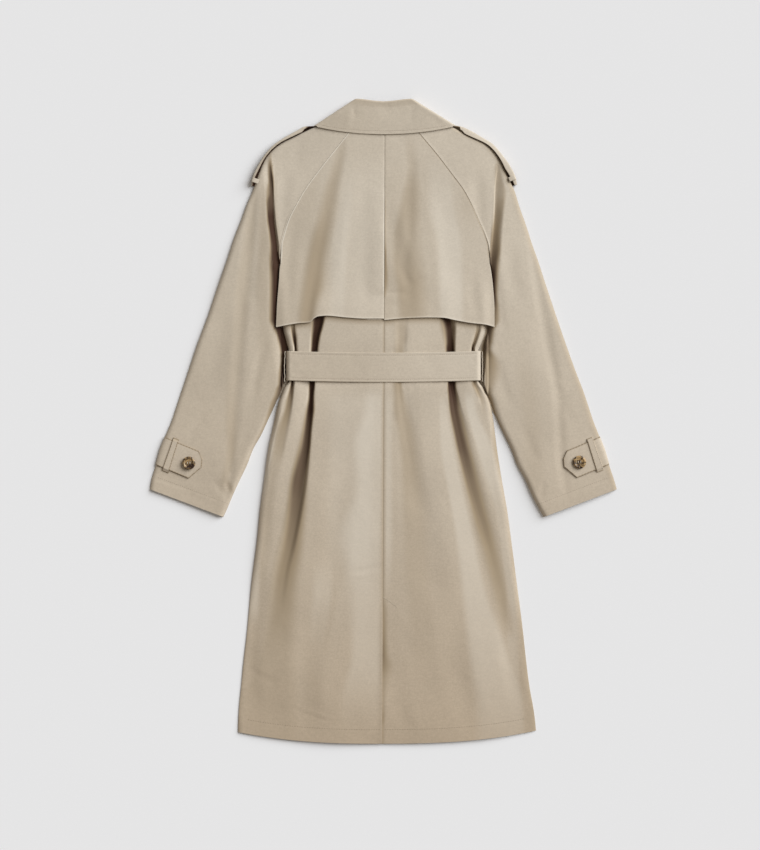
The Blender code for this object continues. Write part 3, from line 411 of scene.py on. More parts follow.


# ---------------------------------------------------------------- creases set one by one

CREASES = {
    "back": creases((-150, -490, -84, -511, 5, 0.5), (-148, -485, -86, -505, 9, -0.35),
                    (-50, -256, -5, -243, 14, 0.6), (-46, -265, -8, -253, 14, -0.35),
                    (60, -70, 96, -330, 80, 1.4), (-60, -20, -80, -300, 70, 1.0),
                    (-205, -250, -224, -500, 44, 1.2), (206, -240, 232, -500, 44, 1.0),
                    (120, -300, 150, -530, 80, 1.4), (-118, -330, -128, -535, 70, 1.3),
                    (18, -400, 40, -536, 50, 0.9), (190, -470, 130, -492, 22, 0.4),
                    (-228, -420, -180, -446, 20, 0.4), (36, 160, 30, 128, 34, 0.8),
                    (40, 60, 70, -180, 50, 1.4), (-186, -60, -200, -240, 30, 0.8)),
    "flap": creases((4, 217, 34, 221, 12, 0.8), (8, 206, 40, 208, 14, -0.4),
                    (10, 360, 40, 250, 44, 1.4), (16, 280, 52, 226, 26, 0.7),
                    (-150, 350, -162, 190, 36, 1.1), (100, 400, 128, 210, 60, 0.9),
                    (-30, 430, -44, 220, 60, 0.7), (150, 250, 160, 176, 30, 0.8),
                    (-62, 420, -104, 200, 54, 1.3), (70, 250, 80, 182, 40, 0.7),
                    (-20, 330, -30, 180, 40, 0.5)),
    "sleeve": creases((-269, -100, -257, -122, 10, 1.2), (-262, -86, -268, -108, 14, -0.6),
                      (-290, -98, -262, -128, 20, 0.7), (-212, 310, -226, 200, 36, 1.3),
                      (-262, 190, -290, 60, 60, 1.2), (-300, 20, -330, -30, 30, 0.5),
                      (-198, 140, -222, 30, 26, 0.9), (-160, 436, -172, 300, 40, 1.0),
                      (-140, 480, -150, 420, 30, 0.4), (-340, -118, -300, -136, 24, 0.4),
                      (-230, -20, -250, -60, 26, 0.6), (213, 300, 230, 200, 40, 0.8),
                      (268, 180, 292, 70, 50, 0.8), (192, 250, 205, 150, 26, 0.7),
                      (190, 110, 220, 20, 30, 0.7), (160, 430, 168, 310, 36, 1.0),
                      (240, -10, 262, -70, 28, 0.6), (330, -110, 290, -134, 22, 0.4),
                      (274, -104, 266, -132, 14, 0.7), (300, 60, 318, 0, 26, 0.5)),
    "collar": creases((-50, 536, -47, 512, 12, 0.6), (-56, 528, -60, 500, 16, -0.4),
                      (52, 538, 46, 508, 16, 0.4), (6, 540, 2, 520, 30, 0.4),
                      (80, 520, 96, 500, 20, 0.3)),
    "belt": creases((-158, 84, -132, 78, 7, 0.5), (-160, 99, -148, 94, 6, 0.7),
                    (158, 106, 148, 100, 6, 0.7), (156, 86, 146, 88, 6, 0.4),
                    (-60, 112, -30, 78, 30, 0.25), (70, 114, 96, 74, 34, 0.25)),
}
# Slow unevenness of cloth that has been laid down by hand: wavelength, way and height.
WAVES = table("length angle height phase", (240, 12, 0.75, 0.6), (150, 68, 0.32, 2.1),
              (104, -38, 0.20, 4.0), (310, -50, 0.60, 1.2), (62, 24, 0.045, 5.1))


CREASE_BOW = 0.035      # of a crease, as a share of its length
CREASE_ENDS = (-0.12, 0.3, 0.7, 1.12)   # where it starts, is full and ends


def creased(part, x, y, waves=1.0):
    """Change of height from the creases of one part and its slow unevenness."""
    height = np.zeros_like(np.asarray(x, float))
    for row in CREASES.get(part, ()):
        start = np.array([row.x, row.y], float)
        way = np.array([row.to_x, row.to_y], float) - start
        length = float(np.linalg.norm(way))
        way /= length
        along = (x - start[0]) * way[0] + (y - start[1]) * way[1]
        aside = (x - start[0]) * way[1] - (y - start[1]) * way[0]
        bow = CREASE_BOW * length * np.sin(math.pi * np.clip(along / length, 0, 1))
        ends = between(along, *(end * length for end in CREASE_ENDS))
        height = height - row.depth * dip(aside - bow, row.width) * ends
    for row in WAVES:
        angle = math.radians(row.angle)
        way = x * math.cos(angle) + y * math.sin(angle)
        height = height + waves * row.height * np.sin(2 * math.pi * way / row.length + row.phase)
    return height


# ---------------------------------------------------------------- cloth pieces

made = {}        # every finished piece, by name
grids = {}       # points and upward normals of the sheets, for what is sewn on them


def keep_piece(name, piece, finish):
    """Name a finished piece, give it its finish and note it."""
    piece.name = name
    piece.data.name = name
    piece.data.materials.clear()
    piece.data.materials.append(finish)
    made[name] = piece
    return piece


def add_object(name, data):
    """Put new data into the scene as an object."""
    piece = bpy.data.objects.new(name, data)
    bpy.context.scene.collection.objects.link(piece)
    return piece


def select_none():
    """Leave nothing selected."""
    bpy.ops.object.select_all(action="DESELECT")


def select_only(piece):
    """Select one piece and make it the active one."""
    select_none()
    piece.select_set(True)
    bpy.context.view_layer.objects.active = piece


def modify(piece, kind, **settings):
    """Apply one modifier to a piece."""
    select_only(piece)
    modifier = piece.modifiers.new(kind, kind)
    for setting, value in settings.items():
        setattr(modifier, setting, value)
    bpy.ops.object.modifier_apply(modifier=modifier.name)


def grid_normals(points):
    """Unit vector out of each point of a grid."""
    down = np.gradient(points, axis=0)
    over = np.gradient(points, axis=1)
    normal = np.cross(over, down)
    normal /= np.maximum(np.linalg.norm(normal, axis=2, keepdims=True), TINY)
    return normal


def upper_side(points, thickness):
    """Points of the upper side of a sheet, with the way up at each of them."""
    normal = grid_normals(points)
    normal *= math.copysign(1.0, normal[..., 2].mean())
    return np.concatenate((points + normal * 0.5 * thickness, normal), axis=2)


def cloth(name, points, thickness, closed=False, shade=None, keep=None):
    """Shell with a rounded rim round a grid of points on the middle of the cloth."""
    points = np.array(points, float)
    points[:, :, 2] = np.maximum(points[:, :, 2], 0.5 * thickness + LEAST_HEIGHT)
    rows, columns = points.shape[:2]
    if not closed:
        grids[name] = upper_side(points, thickness)
    run_over = np.linalg.norm(np.diff(points, axis=1), axis=2)
    run_down = np.linalg.norm(np.diff(points, axis=0), axis=2)
    u = np.concatenate((np.zeros((rows, 1)), np.cumsum(run_over, axis=1)), axis=1)
    v = np.concatenate((np.zeros((1, columns)), np.cumsum(run_down, axis=0)), axis=0)
    u += points[:, :1, 0]
    build = bmesh.new()
    uv = build.loops.layers.uv.new("weave")
    mark = build.verts.layers.float.new("shade")
    vertices = []
    for i in range(rows):
        line = []
        for j in range(columns):
            vertex = build.verts.new(points[i, j] * MM)
            vertex[mark] = 0.0 if shade is None else float(shade[i, j])
            line.append(vertex)
        vertices.append(line)
    for i in range(rows - 1):
        for j in range(columns if closed else columns - 1):
            if keep is not None and not keep[i, j]:
                continue
            k = (j + 1) % columns
            corners = [(i, j), (i, k), (i + 1, k), (i + 1, j)]
            face = build.faces.new([vertices[a][b] for a, b in corners])
            for loop, (a, b) in zip(face.loops, corners):
                over = u[a, b] if not (closed and b == 0 and j > 0) else u[a, -1] + RING_CLOSING
                loop[uv].uv = (over * MM, v[a, b] * MM)
    loose = [vertex for vertex in build.verts if not vertex.link_faces]
    bmesh.ops.delete(build, geom=loose, context="VERTS")
    data = bpy.data.meshes.new(name)
    build.to_mesh(data)
    build.free()
    piece = add_object(name, data)
    faces = len(data.polygons)
    modify(piece, "SOLIDIFY", thickness=thickness * MM, offset=0.0, use_quality_normals=True)
    round_rim(piece, 2 * faces, RIM_RADIUS * thickness)
    piece.data.shade_smooth()
    modify(piece, "WEIGHTED_NORMAL", mode="FACE_AREA", weight=60)
    return keep_piece(name, piece, FINISH["coat_cloth"])


def round_rim(piece, first_rim_face, radius):
    """Round the edges of the rim that a shell's thickness has made."""
    build = bmesh.new()
    build.from_mesh(piece.data)
    build.faces.ensure_lookup_table()
    rim = set(build.faces[first_rim_face:])
    edges = [edge for edge in build.edges
             if len(edge.link_faces) == 2 and len(rim.intersection(edge.link_faces)) == 1]
    bmesh.ops.bevel(build, geom=edges, offset=radius * MM, segments=2, profile=0.5,
                    affect="EDGES", clamp_overlap=True, loop_slide=True)
    build.to_mesh(piece.data)
    build.free()


def spaced(positions, end, least=0.4):
    """Increasing positions from the first one to the end, never closer than least."""
    out = list(positions)
    for i in range(1, len(out)):
        out[i] = max(out[i], out[i - 1] + least)
    out[-1] = end
    for i in range(len(out) - 2, -1, -1):
        out[i] = min(out[i], out[i + 1] - least)
    return out


def turned_positions(end, radius):
    """Columns of a turned-down edge, from where it starts to its end."""
    return [end - radius * (1 - math.cos(math.radians(a))) for a in reversed(TURN_ANGLES)]


def refined(lines, gap):
    """The same rows of positions with more between, at most a gap apart in every row."""
    lines = np.asarray(lines, float)
    counts = np.maximum(1, np.ceil(np.diff(lines, axis=1).max(axis=0) / gap)).astype(int)
    out = [lines[:, :1]]
    for i, count in enumerate(counts):
        share = np.arange(1, count + 1) / count
        start, end = lines[:, i:i + 1], lines[:, i + 1:i + 2]
        out.append(start + share[None, :] * (end - start))
    return np.concatenate(out, axis=1)


def row_places(stops, gap):
    """Places downwards from stop to stop, at most a gap apart."""
    return refined([stops[::-1]], gap)[0][::-1]


# ---------------------------------------------------------------- back panels

FOLD_COLUMNS = (-0.5, -0.42, -0.34, -0.25, -0.16, -0.05, 0.08, 0.2, 0.32, 0.45, 0.58)
LAST_FOLD_Y = 178.0     # above this the columns no longer follow the folds
FIRST_COLUMNS = (0.5 * GAP, 1.6, 3.4, 6.0)
BACK_STOPS = (502, 268, 166, 146, 128, 118, 69, 60, 46, -293, -297, -299, -303, -521, -525, -547)


BACK_INSET = 0.5        # of the back's last column from the raglan seam
UNDERARM_INSET = 0.7    # more of it about the underarm
UNDERARM_INSET_Y = (240, 262, 282, 312)


def back_end(side, y):
    """Last column of the back: just inside the raglan seam, or its free side edge."""
    seam = BODY[side](y) - BACK_INSET
    seam = seam - UNDERARM_INSET * float(between(y, *UNDERARM_INSET_Y))
    side_edge = BODY[side](y) - 0.5 * CLOTH
    return float(seam if y >= UNDERARM_Y else side_edge)


def back_columns(side, y):
    """Distances out from the middle of the columns of the back at one height."""
    fold_y = min(y, LAST_FOLD_Y)
    end = back_end(side, fold_y)
    columns = list(FIRST_COLUMNS)
    folds = [(float(line(fold_y)), float(width(fold_y))) for line, width, _ in BACK_FOLDS[side]]
    for line, width in folds:
        columns.append(0.5 * (columns[-1] + line - 0.5 * width))
        columns += [line + share * width for share in FOLD_COLUMNS]
    columns += turned_positions(end, float(BACK["turn"](fold_y)))
    columns = spaced(columns, end)
    return [value * back_end(side, y) / end for value in columns]


def hem_lift(out, y):
    """Rise of the hem towards its corners, shared by the rows just above it."""
    rise = HEM_RISE * np.abs(out / HEM_HALF) ** HEM_POWER
    return rise * (1 - step(y, HEM_Y, HEM_RISE_FROM))


# Shadow in the gathers, which the belt draws so deep that little light gets in: where it
# starts, is full on both sides and ends, outwards from the middle, and how dark it is.
SLOTS = {
    "left": (
        shadow((180, 92, 102, 116, 126, 1), (165, 100, 104, 117.5, 126, 1),
               (155, 103, 106, 118, 126.5, 1), (145, 106, 109, 119.5, 126, 1),
               (124, 110, 112, 121.5, 125.5, 1), (64, 115, 117, 125, 129, 1),
               (45, 116.5, 119, 124.5, 129.5, 1), (20, 114.5, 120.5, 127, 135, 1),
               (5, 117.5, 121.5, 129, 138, 0.95), (-15, 120, 124, 131, 142.5, 0.92),
               (-40, 121.5, 126, 134.5, 149, 0.9), (-70, 123, 132, 142, 157, 0.89),
               (-100, 124, 138, 149, 164, 0.88), (-140, 124, 143, 153, 170, 0.79),
               (-180, 126, 148, 158, 177, 0.68), (-220, 129, 152, 164, 187, 0.57),
               (-270, 136, 160, 174, 198, 0.46), (-320, 138, 166, 177, 205, 0.37),
               (-400, 140, 170, 199, 222, 0.15), (-482, 138, 156, 228, 254, 0.09),
               (-547, 138, 156, 228, 254, 0.05)),
        shadow((180, 142, 150, 157, 162, 0.3), (165, 144, 152, 157, 161, 0.4),
               (155, 146, 153.5, 155.5, 159.5, 0.75), (145, 145, 152, 154.5, 157, 0.9),
               (135, 146, 149, 152.5, 155.5, 0.97), (124, 147, 148.5, 150.5, 152.5, 1),
               (64, 152, 154, 156.5, 159, 1), (55, 151, 155, 157, 162, 0.88),
               (45, 151, 156, 159.5, 165, 0.72), (35, 152, 157.5, 161, 169, 0.63),
               (20, 154, 160.5, 163.5, 172, 0.57), (5, 156, 163.5, 168, 178, 0.48),
               (-15, 159, 168, 174, 187, 0.38), (-40, 163, 172, 179, 193, 0.3),
               (-75, 169, 179, 186, 200, 0.12), (-110, 176, 186, 192, 206, 0)),
    ),
    "right": (
        shadow((180, 84, 97, 108, 120, 0.95), (165, 90, 108, 112, 126, 1),
               (155, 93.5, 109, 114, 126, 0.97), (145, 96.5, 109.5, 115, 124, 0.97),
               (135, 98.5, 110, 117, 123.5, 0.97), (124, 101, 108, 118.5, 122.5, 1),
               (64, 107.4, 109.2, 120.5, 124.5, 1), (55, 107.4, 109.8, 120.3, 126, 1),
               (45, 108.0, 111, 121, 129, 1), (35, 108.5, 112, 122, 132, 1),
               (20, 109.7, 114, 123.5, 136, 0.98), (5, 111.5, 117, 126, 142, 0.96),
               (-15, 115, 121.5, 130, 148, 0.95), (-40, 119.5, 127, 136, 154, 0.93),
               (-70, 125.5, 134.5, 144, 163, 0.84), (-100, 131.5, 142, 151, 172, 0.75),
               (-140, 141, 153, 162, 182, 0.67), (-180, 150, 164, 174, 192, 0.6),
               (-220, 160, 177, 185, 202, 0.49), (-270, 174, 190, 197, 213, 0.41),
               (-320, 187, 202, 208, 221, 0.3), (-370, 200, 212, 216, 230, 0)),
        shadow((180, 152, 158, 163, 170, 0.25), (165, 152, 159, 162, 168, 0.35),
               (155, 151, 159, 161, 167, 0.45), (145, 151, 157, 158.5, 163.5, 0.55),
               (135, 148, 154, 155, 160, 0.62), (124, 147, 149.8, 151.5, 155.5, 0.95),
               (64, 148, 152.5, 154.5, 160, 0.7), (55, 151, 156.3, 158, 164, 0.55),
               (45, 154, 161, 163, 169, 0.42), (35, 160, 166.5, 168, 174, 0.25),
               (20, 162, 168, 170, 175, 0.12), (0, 168, 172, 174, 178, 0)),
        shadow((180, 8, 26, 34, 44, 0.2), (145, 12, 28, 32, 44, 0.26), (124, 13, 25, 30, 38, 0.3),
               (64, 10, 23, 28, 34, 0.42), (45, 12, 23, 29, 39, 0.34), (20, 13, 22, 32, 50, 0.29),
               (-15, 18, 31, 42, 59, 0.28), (-70, 24, 38, 47, 70, 0.27),
               (-140, 26, 41, 53, 82, 0.2), (-220, 27, 45, 60, 94, 0.14),
               (-300, 32, 54, 73, 98, 0.11), (-400, 40, 62, 84, 104, 0.05),
               (-470, 40, 62, 84, 104, 0)),
    ),
}
# The same for the valleys of the storm flap and for the edge of its lap beside the middle.
FLAP_SHADE = {
    "left": (
        shadow((500, 56, 66, 70, 82, 0), (470, 58, 69, 71, 88, 0.12), (430, 63, 77, 80, 98, 0.23),
               (390, 66, 88, 91, 113, 0.29), (350, 72, 96, 100, 124, 0.33),
               (310, 80, 104, 112, 136, 0.4), (270, 87, 111, 120, 145, 0.42),
               (230, 91, 113, 126, 151, 0.43), (190, 102, 124, 132, 157, 0.42),
               (160, 108, 129, 134, 158, 0.42)),
    ),
    "right": (
        shadow((500, 26, 40, 44, 60, 0), (470, 28, 41, 44, 62, 0.1), (430, 30, 45, 48, 68, 0.16),
               (390, 22, 40, 48, 74, 0.28), (350, 12, 32, 46, 76, 0.29),
               (310, 6, 22, 42, 80, 0.27), (270, 4, 22, 44, 86, 0.3), (230, 8, 30, 50, 90, 0.35),
               (190, 12, 34, 50, 94, 0.33), (160, 14, 36, 48, 94, 0.29)),
        shadow((440, 118, 134, 172, 192, 0), (368, 122, 137, 172, 190, 0.1),
               (320, 128, 142, 160, 180, 0.03), (290, 130, 144, 160, 180, 0)),
        shadow((390, -2, -1, 0, 3, 0), (370, -2, -1, 1, 4, 0.3), (310, -2, -1, 1, 5, 0.35),
               (280, -2, -1, 1.8, 6, 0.6), (240, -2, -1, 2.5, 9, 0.53),
               (218, -2, -1, 1.8, 7, 0.43), (205, -2, -1, 1, 3, 0.1)),
        shadow((400, -2, -1, 6, 20, 0), (360, -2, -1, 6, 26, 0.09), (300, -2, -1, 10, 34, 0.13),
               (218, -2, -1, 12, 44, 0.13), (165, -2, -1, 8, 36, 0.09)),
    ),
}
# Where the back and the storm flap lie smooth and catch more light.
BACK_LIGHT = {
    "left": (
        shadow((60, 2, 6, 18, 40, 0), (30, 2, 6, 18, 40, 0.25), (-40, 2, 6, 38, 58, 0.26),
               (-108, 2, 6, 32, 56, 0.2), (-194, 2, 8, 56, 84, 0.22), (-296, 2, 8, 40, 66, 0.14),
               (-398, 2, 8, 44, 60, 0.17), (-482, 2, 8, 60, 80, 0.05), (-530, 2, 8, 60, 80, 0)),
        shadow((0, 176, 186, 196, 206, 0), (-40, 183, 190, 202, 214, 0.33),
               (-108, 196, 203, 212, 224, 0.38), (-170, 204, 211, 220, 232, 0.1),
               (-296, 206, 216, 232, 244, 0.2), (-360, 206, 218, 232, 244, 0)),
        shadow((-230, 80, 92, 108, 124, 0), (-296, 82, 94, 110, 126, 0.15),
               (-398, 96, 108, 120, 132, 0.06), (-440, 96, 108, 120, 132, 0)),
    ),
    "right": (
        shadow((60, 132, 141, 148, 158, 0), (28, 137, 143, 150, 160, 0.3),
               (-40, 154, 161, 177, 188, 0.28), (-108, 172, 183, 195, 204, 0.23),
               (-160, 188, 196, 206, 214, 0.12), (-240, 200, 206, 214, 222, 0.14),
               (-296, 206, 212, 226, 238, 0.18), (-350, 206, 214, 226, 238, 0.1)),
        shadow((45, 90, 98, 102, 108, 0), (28, 92, 98, 103, 109, 0.12),
               (-40, 92, 102, 115, 121, 0.2), (-108, 104, 113, 129, 135, 0.22),
               (-194, 118, 129, 147, 156, 0.23), (-296, 128, 144, 168, 182, 0.23),
               (-398, 138, 156, 204, 222, 0.19), (-482, 148, 172, 232, 248, 0.14),
               (-547, 150, 176, 236, 250, 0.08)),
        shadow((50, 0, 2, 9, 18, 0), (20, 0, 2, 9, 18, 0.16), (-194, 0, 2, 9, 20, 0.2),
               (-300, 0, 2, 8, 18, 0)),
    ),
}
FLAP_LIGHT = {
    "left": (
        shadow((420, 48, 60, 66, 80, 0), (368, 50, 62, 68, 82, 0.15), (300, 56, 70, 80, 92, 0.2),
               (232, 60, 72, 82, 95, 0.2), (165, 60, 76, 86, 98, 0.14)),
    ),
    "right": (
        shadow((450, 66, 86, 106, 122, 0), (370, 68, 88, 112, 124, 0.2),
               (300, 84, 99, 124, 138, 0.25), (232, 88, 101, 127, 140, 0.26),
               (165, 90, 103, 127, 140, 0.22)),
    ),
}
SHADE_NAMES = ("start", "full", "last", "end", "dark")


def shade_curves(tables):
    """The curves of each shadow's table, for both sides."""
    return {side: [[curve(rows, name) for name in SHADE_NAMES] for rows in tables[side]]
            for side in SIDES}


SLOT_AT, FLAP_SHADE_AT = shade_curves(SLOTS), shade_curves(FLAP_SHADE)
BACK_LIGHT_AT, FLAP_LIGHT_AT = shade_curves(BACK_LIGHT), shade_curves(FLAP_LIGHT)


def shaded(curves, out, y):
    """The darkest of a set of shadows at a distance out from the middle."""
    shade = np.zeros_like(out)
    for at in curves:
        start, full, last, end, dark = (value(y) for value in at)
        shade = np.maximum(shade, dark * between(out, start, full, last, end))
    return shade


# Shadow on the right panel beside the edge of the vent.
VENT_SHADE = table("y dark reach", (-150, 0.1, 4), (-290, 0.22, 6), (-320, 0.4, 12),
                   (-355, 0.5, 12), (-392, 0.62, 14), (-415, 0.55, 22), (-440, 0.3, 18),
                   (-480, 0.2, 8), (-505, 0.5, 7), (-520, 0.25, 5), (-547, 0.25, 5))
VENT_DARK, VENT_REACH = curve(VENT_SHADE, "dark"), curve(VENT_SHADE, "reach")
# Painted shade of the broad soft folds that run down the skirt.
SKIRT_SHADE = {
    "left": (
        shadow((40, 168, 178, 190, 200, 0), (-60, 172, 186, 192, 206, 0.1),
               (-200, 184, 204, 210, 226, 0.12), (-300, 194, 212, 218, 234, 0.03),
               (-400, 198, 216, 222, 238, 0.1), (-430, 200, 218, 224, 240, 0.08),
               (-520, 204, 222, 228, 244, 0)),
        shadow((-60, 40, 60, 66, 90, 0), (-200, 44, 64, 70, 96, 0.05),
               (-400, 90, 112, 120, 140, 0.07), (-530, 96, 116, 124, 144, 0.02)),
    ),
    "right": (
        shadow((-150, 60, 84, 92, 120, 0), (-300, 44, 90, 98, 150, 0.05),
               (-420, 60, 104, 112, 160, 0.03), (-530, 80, 116, 122, 160, 0)),
        shadow((60, 178, 190, 200, 210, 0.13), (-40, 181, 192, 226, 236, 0.24),
               (-108, 196, 207, 236, 246, 0.2), (-200, 212, 221, 250, 260, 0.13),
               (-360, 220, 232, 260, 280, 0.1), (-547, 232, 244, 280, 300, 0.06)),
    ),
}
SKIRT_SHADE_AT = shade_curves(SKIRT_SHADE)


SEAM_GROOVE = 0.40      # depth of the middle seam, its width and its painted shade
SEAM_GROOVE_WIDTH = 4.5
SEAM_DARK = 0.3
SEAM_REACH = (0.9, 2.4) # how far its painted shade reaches
HEM_FACING = (22, 26)   # from the hem up, where its turned-up facing ends
HEM_FACING_RISE = 0.15
VENT_OPEN = (-345, -296)
VENT_RISE = 0.55        # of the left panel over the underlap, and how far it reaches
VENT_RISE_REACH = 9
VENT_EDGE_LIGHT = 0.30
VENT_EDGE_REACH = (1.0, 2.4)
VENT_EDGE_Y = (-230, -170)
VENT_SHADE_OUT = (-2, 0, 0.5)
VENT_FALL = ((0.6, 0, 6), (0.5, 4, 30))     # of the right panel's edge: how much, and where
UNDERLAP_POINTS = 10
UNDERLAP_END = -2.0     # where it meets the panel, and how far below the vent's top it starts
UNDERLAP_START = 5.0
UNDER_FLAP_DARK = 0.42  # shadow of the storm flap's lower edge, and how far it reaches
UNDER_FLAP_REACH = 13
# Light on the open parts of the skirt, and between which distances out it lies.
OPEN_LIGHT = {"left": (0.11, (6, 30, 76, 104)), "right": (0.04, (60, 90, 150, 190))}
OPEN_LIGHT_Y = (-420, -180)
BELOW_BELT_Y = (30, 60)
UPPER_TONE = 0.04       # of the back above the belt, outside its shadows
UPPER_TONE_Y = (110, 130)
UPPER_TONE_SHADE = (0.1, 0.3)
SIDE_TONE = 0.18        # of the right side edge below the belt, which turns from the light
SIDE_TONE_Y = 60
SIDE_TONE_REACH = (1.0, 10.0)


def vent_share(y):
    """1 where the vent is open, 0 above it, where the middle seam is sewn."""
    return 1 - step(y, *VENT_OPEN)


def vent_rise(out, y):
    """Rise of the left panel's edge over the underlap of the vent."""
    return vent_share(y) * VENT_RISE * (1 - step(out, 0, VENT_RISE_REACH))


def back_shade(side, out, y):
    """Painted shade and painted light on the back: darker than the plain cloth above 0, lighter
    below 0.
    """
    shade = shaded(SLOT_AT[side], out, y)
    under_flap = 1 - step(FLAP_LOW[side](out) - y, 0, UNDER_FLAP_REACH)
    shade = np.maximum(shade, UNDER_FLAP_DARK * under_flap * step(out, 0, 1))
    shade = np.maximum(shade, shaded(SKIRT_SHADE_AT[side], out, y))
    if side == "left":
        light = fading(y, VENT_EDGE_LIGHT, *VENT_EDGE_Y)
        shade = shade - fading(out, light, *VENT_EDGE_REACH)
    shade = np.maximum(shade, fading(out, SEAM_DARK * (1 - vent_share(y)), *SEAM_REACH))
    light, reach = OPEN_LIGHT[side]
    open_light = light * between(out, *reach) * step(y, *OPEN_LIGHT_Y)
    shade = shade - fading(y, open_light, *BELOW_BELT_Y)
    shade = shade - shaded(BACK_LIGHT_AT[side], out, y)
    shade = shade + UPPER_TONE * step(y, *UPPER_TONE_Y) * (1 - step(shade, *UPPER_TONE_SHADE))
    if side == "right":
        if y < SIDE_TONE_Y:
            shade = shade + fading(BODY[side](y) - out, SIDE_TONE, *SIDE_TONE_REACH)
        beside_vent = VENT_DARK(y) * between(out, *VENT_SHADE_OUT, VENT_REACH(y))
        shade = np.where(beside_vent > 0, np.maximum(shade, beside_vent), shade)
    return shade


def make_back(side):
    """Back panel with its gathers; the right one has the underlap of the vent."""
    rows = row_places(BACK_STOPS, CLOTH_STEP)
    lines = refined([back_columns(side, y) for y in rows], CLOTH_STEP)
    under = np.linspace(-VENT_UNDERLAP, UNDERLAP_END, UNDERLAP_POINTS)
    points, shades = [], []
    for y, out in zip(rows, lines):
        x = across(side, out, y)
        z = back_height(side, out, y)
        edge = 1.0
        if y < FREE_SLEEVE_Y:
            edge = turn(BODY[side](y) - 0.5 * CLOTH - out, BACK["turn"](y))
        z = z + creased("back", x, y) * edge
        z = z - SEAM_GROOVE * dip(out, SEAM_GROOVE_WIDTH) * (1 - vent_share(y))
        facing = 1 - step(y, HEM_Y + HEM_FACING[0], HEM_Y + HEM_FACING[1])
        z = z + HEM_FACING_RISE * facing * edge
        shade = back_shade(side, out, y)
        if side == "left":
            z = z + vent_rise(out, y)
        else:
            z = z - vent_share(y) * sum(fading(out, *fall) for fall in VENT_FALL)
            flat = back_height("left", -under, y) + creased("back", across(side, under, y), y)
            flat = flat + vent_rise(-under, y) - LAYER
            x = np.concatenate((across(side, under, y), x))
            z = np.concatenate((flat, z))
            shade = np.concatenate((0 * under, shade))
            out = np.concatenate((under, out))
        points.append(np.column_stack((x, y + hem_lift(out, y), z)))
        shades.append(shade)
    points, shades = np.array(points), np.array(shades)
    keep = None
    if side == "right":
        keep = np.ones((len(rows) - 1, points.shape[1] - 1), bool)
        keep[rows[1:] > VENT_TOP_Y - UNDERLAP_START, :UNDERLAP_POINTS] = False
    return cloth(f"back_{side}", points, CLOTH, shade=shades, keep=keep)


# ---------------------------------------------------------------- storm flap

FLAP_STOPS = (502, 268, 220, 216, 172)
FLAP_CORNER_FALL = 2.5  # of the outer lower corners
FLAP_TONE = 0.03        # of the whole flap
RAGLAN_LIGHT = 0.75     # along the left raglan seam
RAGLAN_DARK = 0.28      # and along the right one
RAGLAN_REACH = (-1.0, 0.2, 1.0, 2.2)
LAP_LIGHT = 0.24        # on the lapped edge at the middle
LAP_LIGHT_REACH = (-1.0, -0.2, 1.2, 2.6)
FLAP_HEM_LIGHT = 0.3    # on the lower edge
FLAP_HEM_REACH = (1.0, 2.6)
INNER_LIGHT = 0.10      # on the inner part of the left half
INNER_LIGHT_OUT = (50, 90)
INNER_LIGHT_Y = (400, 470)
# More tone on one part of each half: how much, and between which distances out.
FLAP_SIDE_TONE = {"left": (0.075, 96, 124), "right": (0.05, 60, 110)}
FLAP_SIDE_TONE_Y = (380, 470)
# How far the last column is from the raglan seam, and how far the left side edge curves in
# below the underarm.
FLAP_INSET = 1.1
FLAP_INSET_Y = (285, 305)
FLAP_WAIST = {"left": 2.2, "right": 0.0}
FLAP_WAIST_Y = (150, 215, 240, 266)
FIRST_FLAP_COLUMNS = (0.5 * GAP, 1.4, 3.0, 5.0)
LAST_FLAP_COLUMNS = (-6.0, -3.0, -1.2, 0.0)
RAGLAN_GROOVE = (0.35, 3.6)     # beside the raglan seam: its depth and width
FLAP_SEAM_GROOVE = (0.7, 5.0)   # down the middle, where both halves are sewn
FLAP_SEAM_DEPTH = 0.45
FLAP_SEAM_Y = (372, 384)        # they are sewn above this and below FLAP_LOW_SEAM_Y
FLAP_LOW_SEAM_Y = (206, 218)
LAP_OVER = (1.4, 2, 36)         # of the left half: rise, and where it starts and ends
LAP_UNDER = (0.8, 1, 24)        # of the right half: fall
FLAP_HEM_EDGE = (0.45, 3.2)     # raised edge of the lower hem: its height and width
FLAP_HEM_FROM = 236


def flap_end(side, y):
    """Last column of the flap: on the raglan seam, or its free side edge."""
    seam = BODY[side](y) - 0.5 * GAP - FLAP_INSET * (1 - step(y, *FLAP_INSET_Y))
    free = FLAP_SIDE[side](y) - FLAP_WAIST[side] * between(y, *FLAP_WAIST_Y)
    return float(seam if y >= UNDERARM_Y else free)


def flap_shade(side, out, y, end):
    """Painted shade and painted light on the storm flap: darker than the plain cloth above 0,
    lighter below 0.
    """
    seamed = on_raglan(y) * between(end - out, *RAGLAN_REACH)
    most, *reach = FLAP_SIDE_TONE[side]
    fade = 1 - step(y, *FLAP_SIDE_TONE_Y)
    if side == "left":
        lap = LAP_LIGHT * LAP_RISE(y) * between(out, *LAP_LIGHT_REACH)
        light = np.maximum(RAGLAN_LIGHT * seamed, lap)
        dark = most * step(out, *reach) * fade + FLAP_TONE
    else:
        light = np.zeros_like(out)
        dark = most * (1 - step(out, *reach)) * fade + FLAP_TONE + RAGLAN_DARK * seamed
    hem_reach = [FLAP_HEM_Y + place for place in FLAP_HEM_REACH]
    light = np.maximum(light, fading(y, FLAP_HEM_LIGHT, *hem_reach))
    if side == "left":
        inner = fading(out, INNER_LIGHT, *INNER_LIGHT_OUT)
        light = light + fading(y, inner, *INNER_LIGHT_Y)
    light = light + shaded(FLAP_LIGHT_AT[side], out, y)
    return np.maximum(shaded(FLAP_SHADE_AT[side], out, y), dark) - light


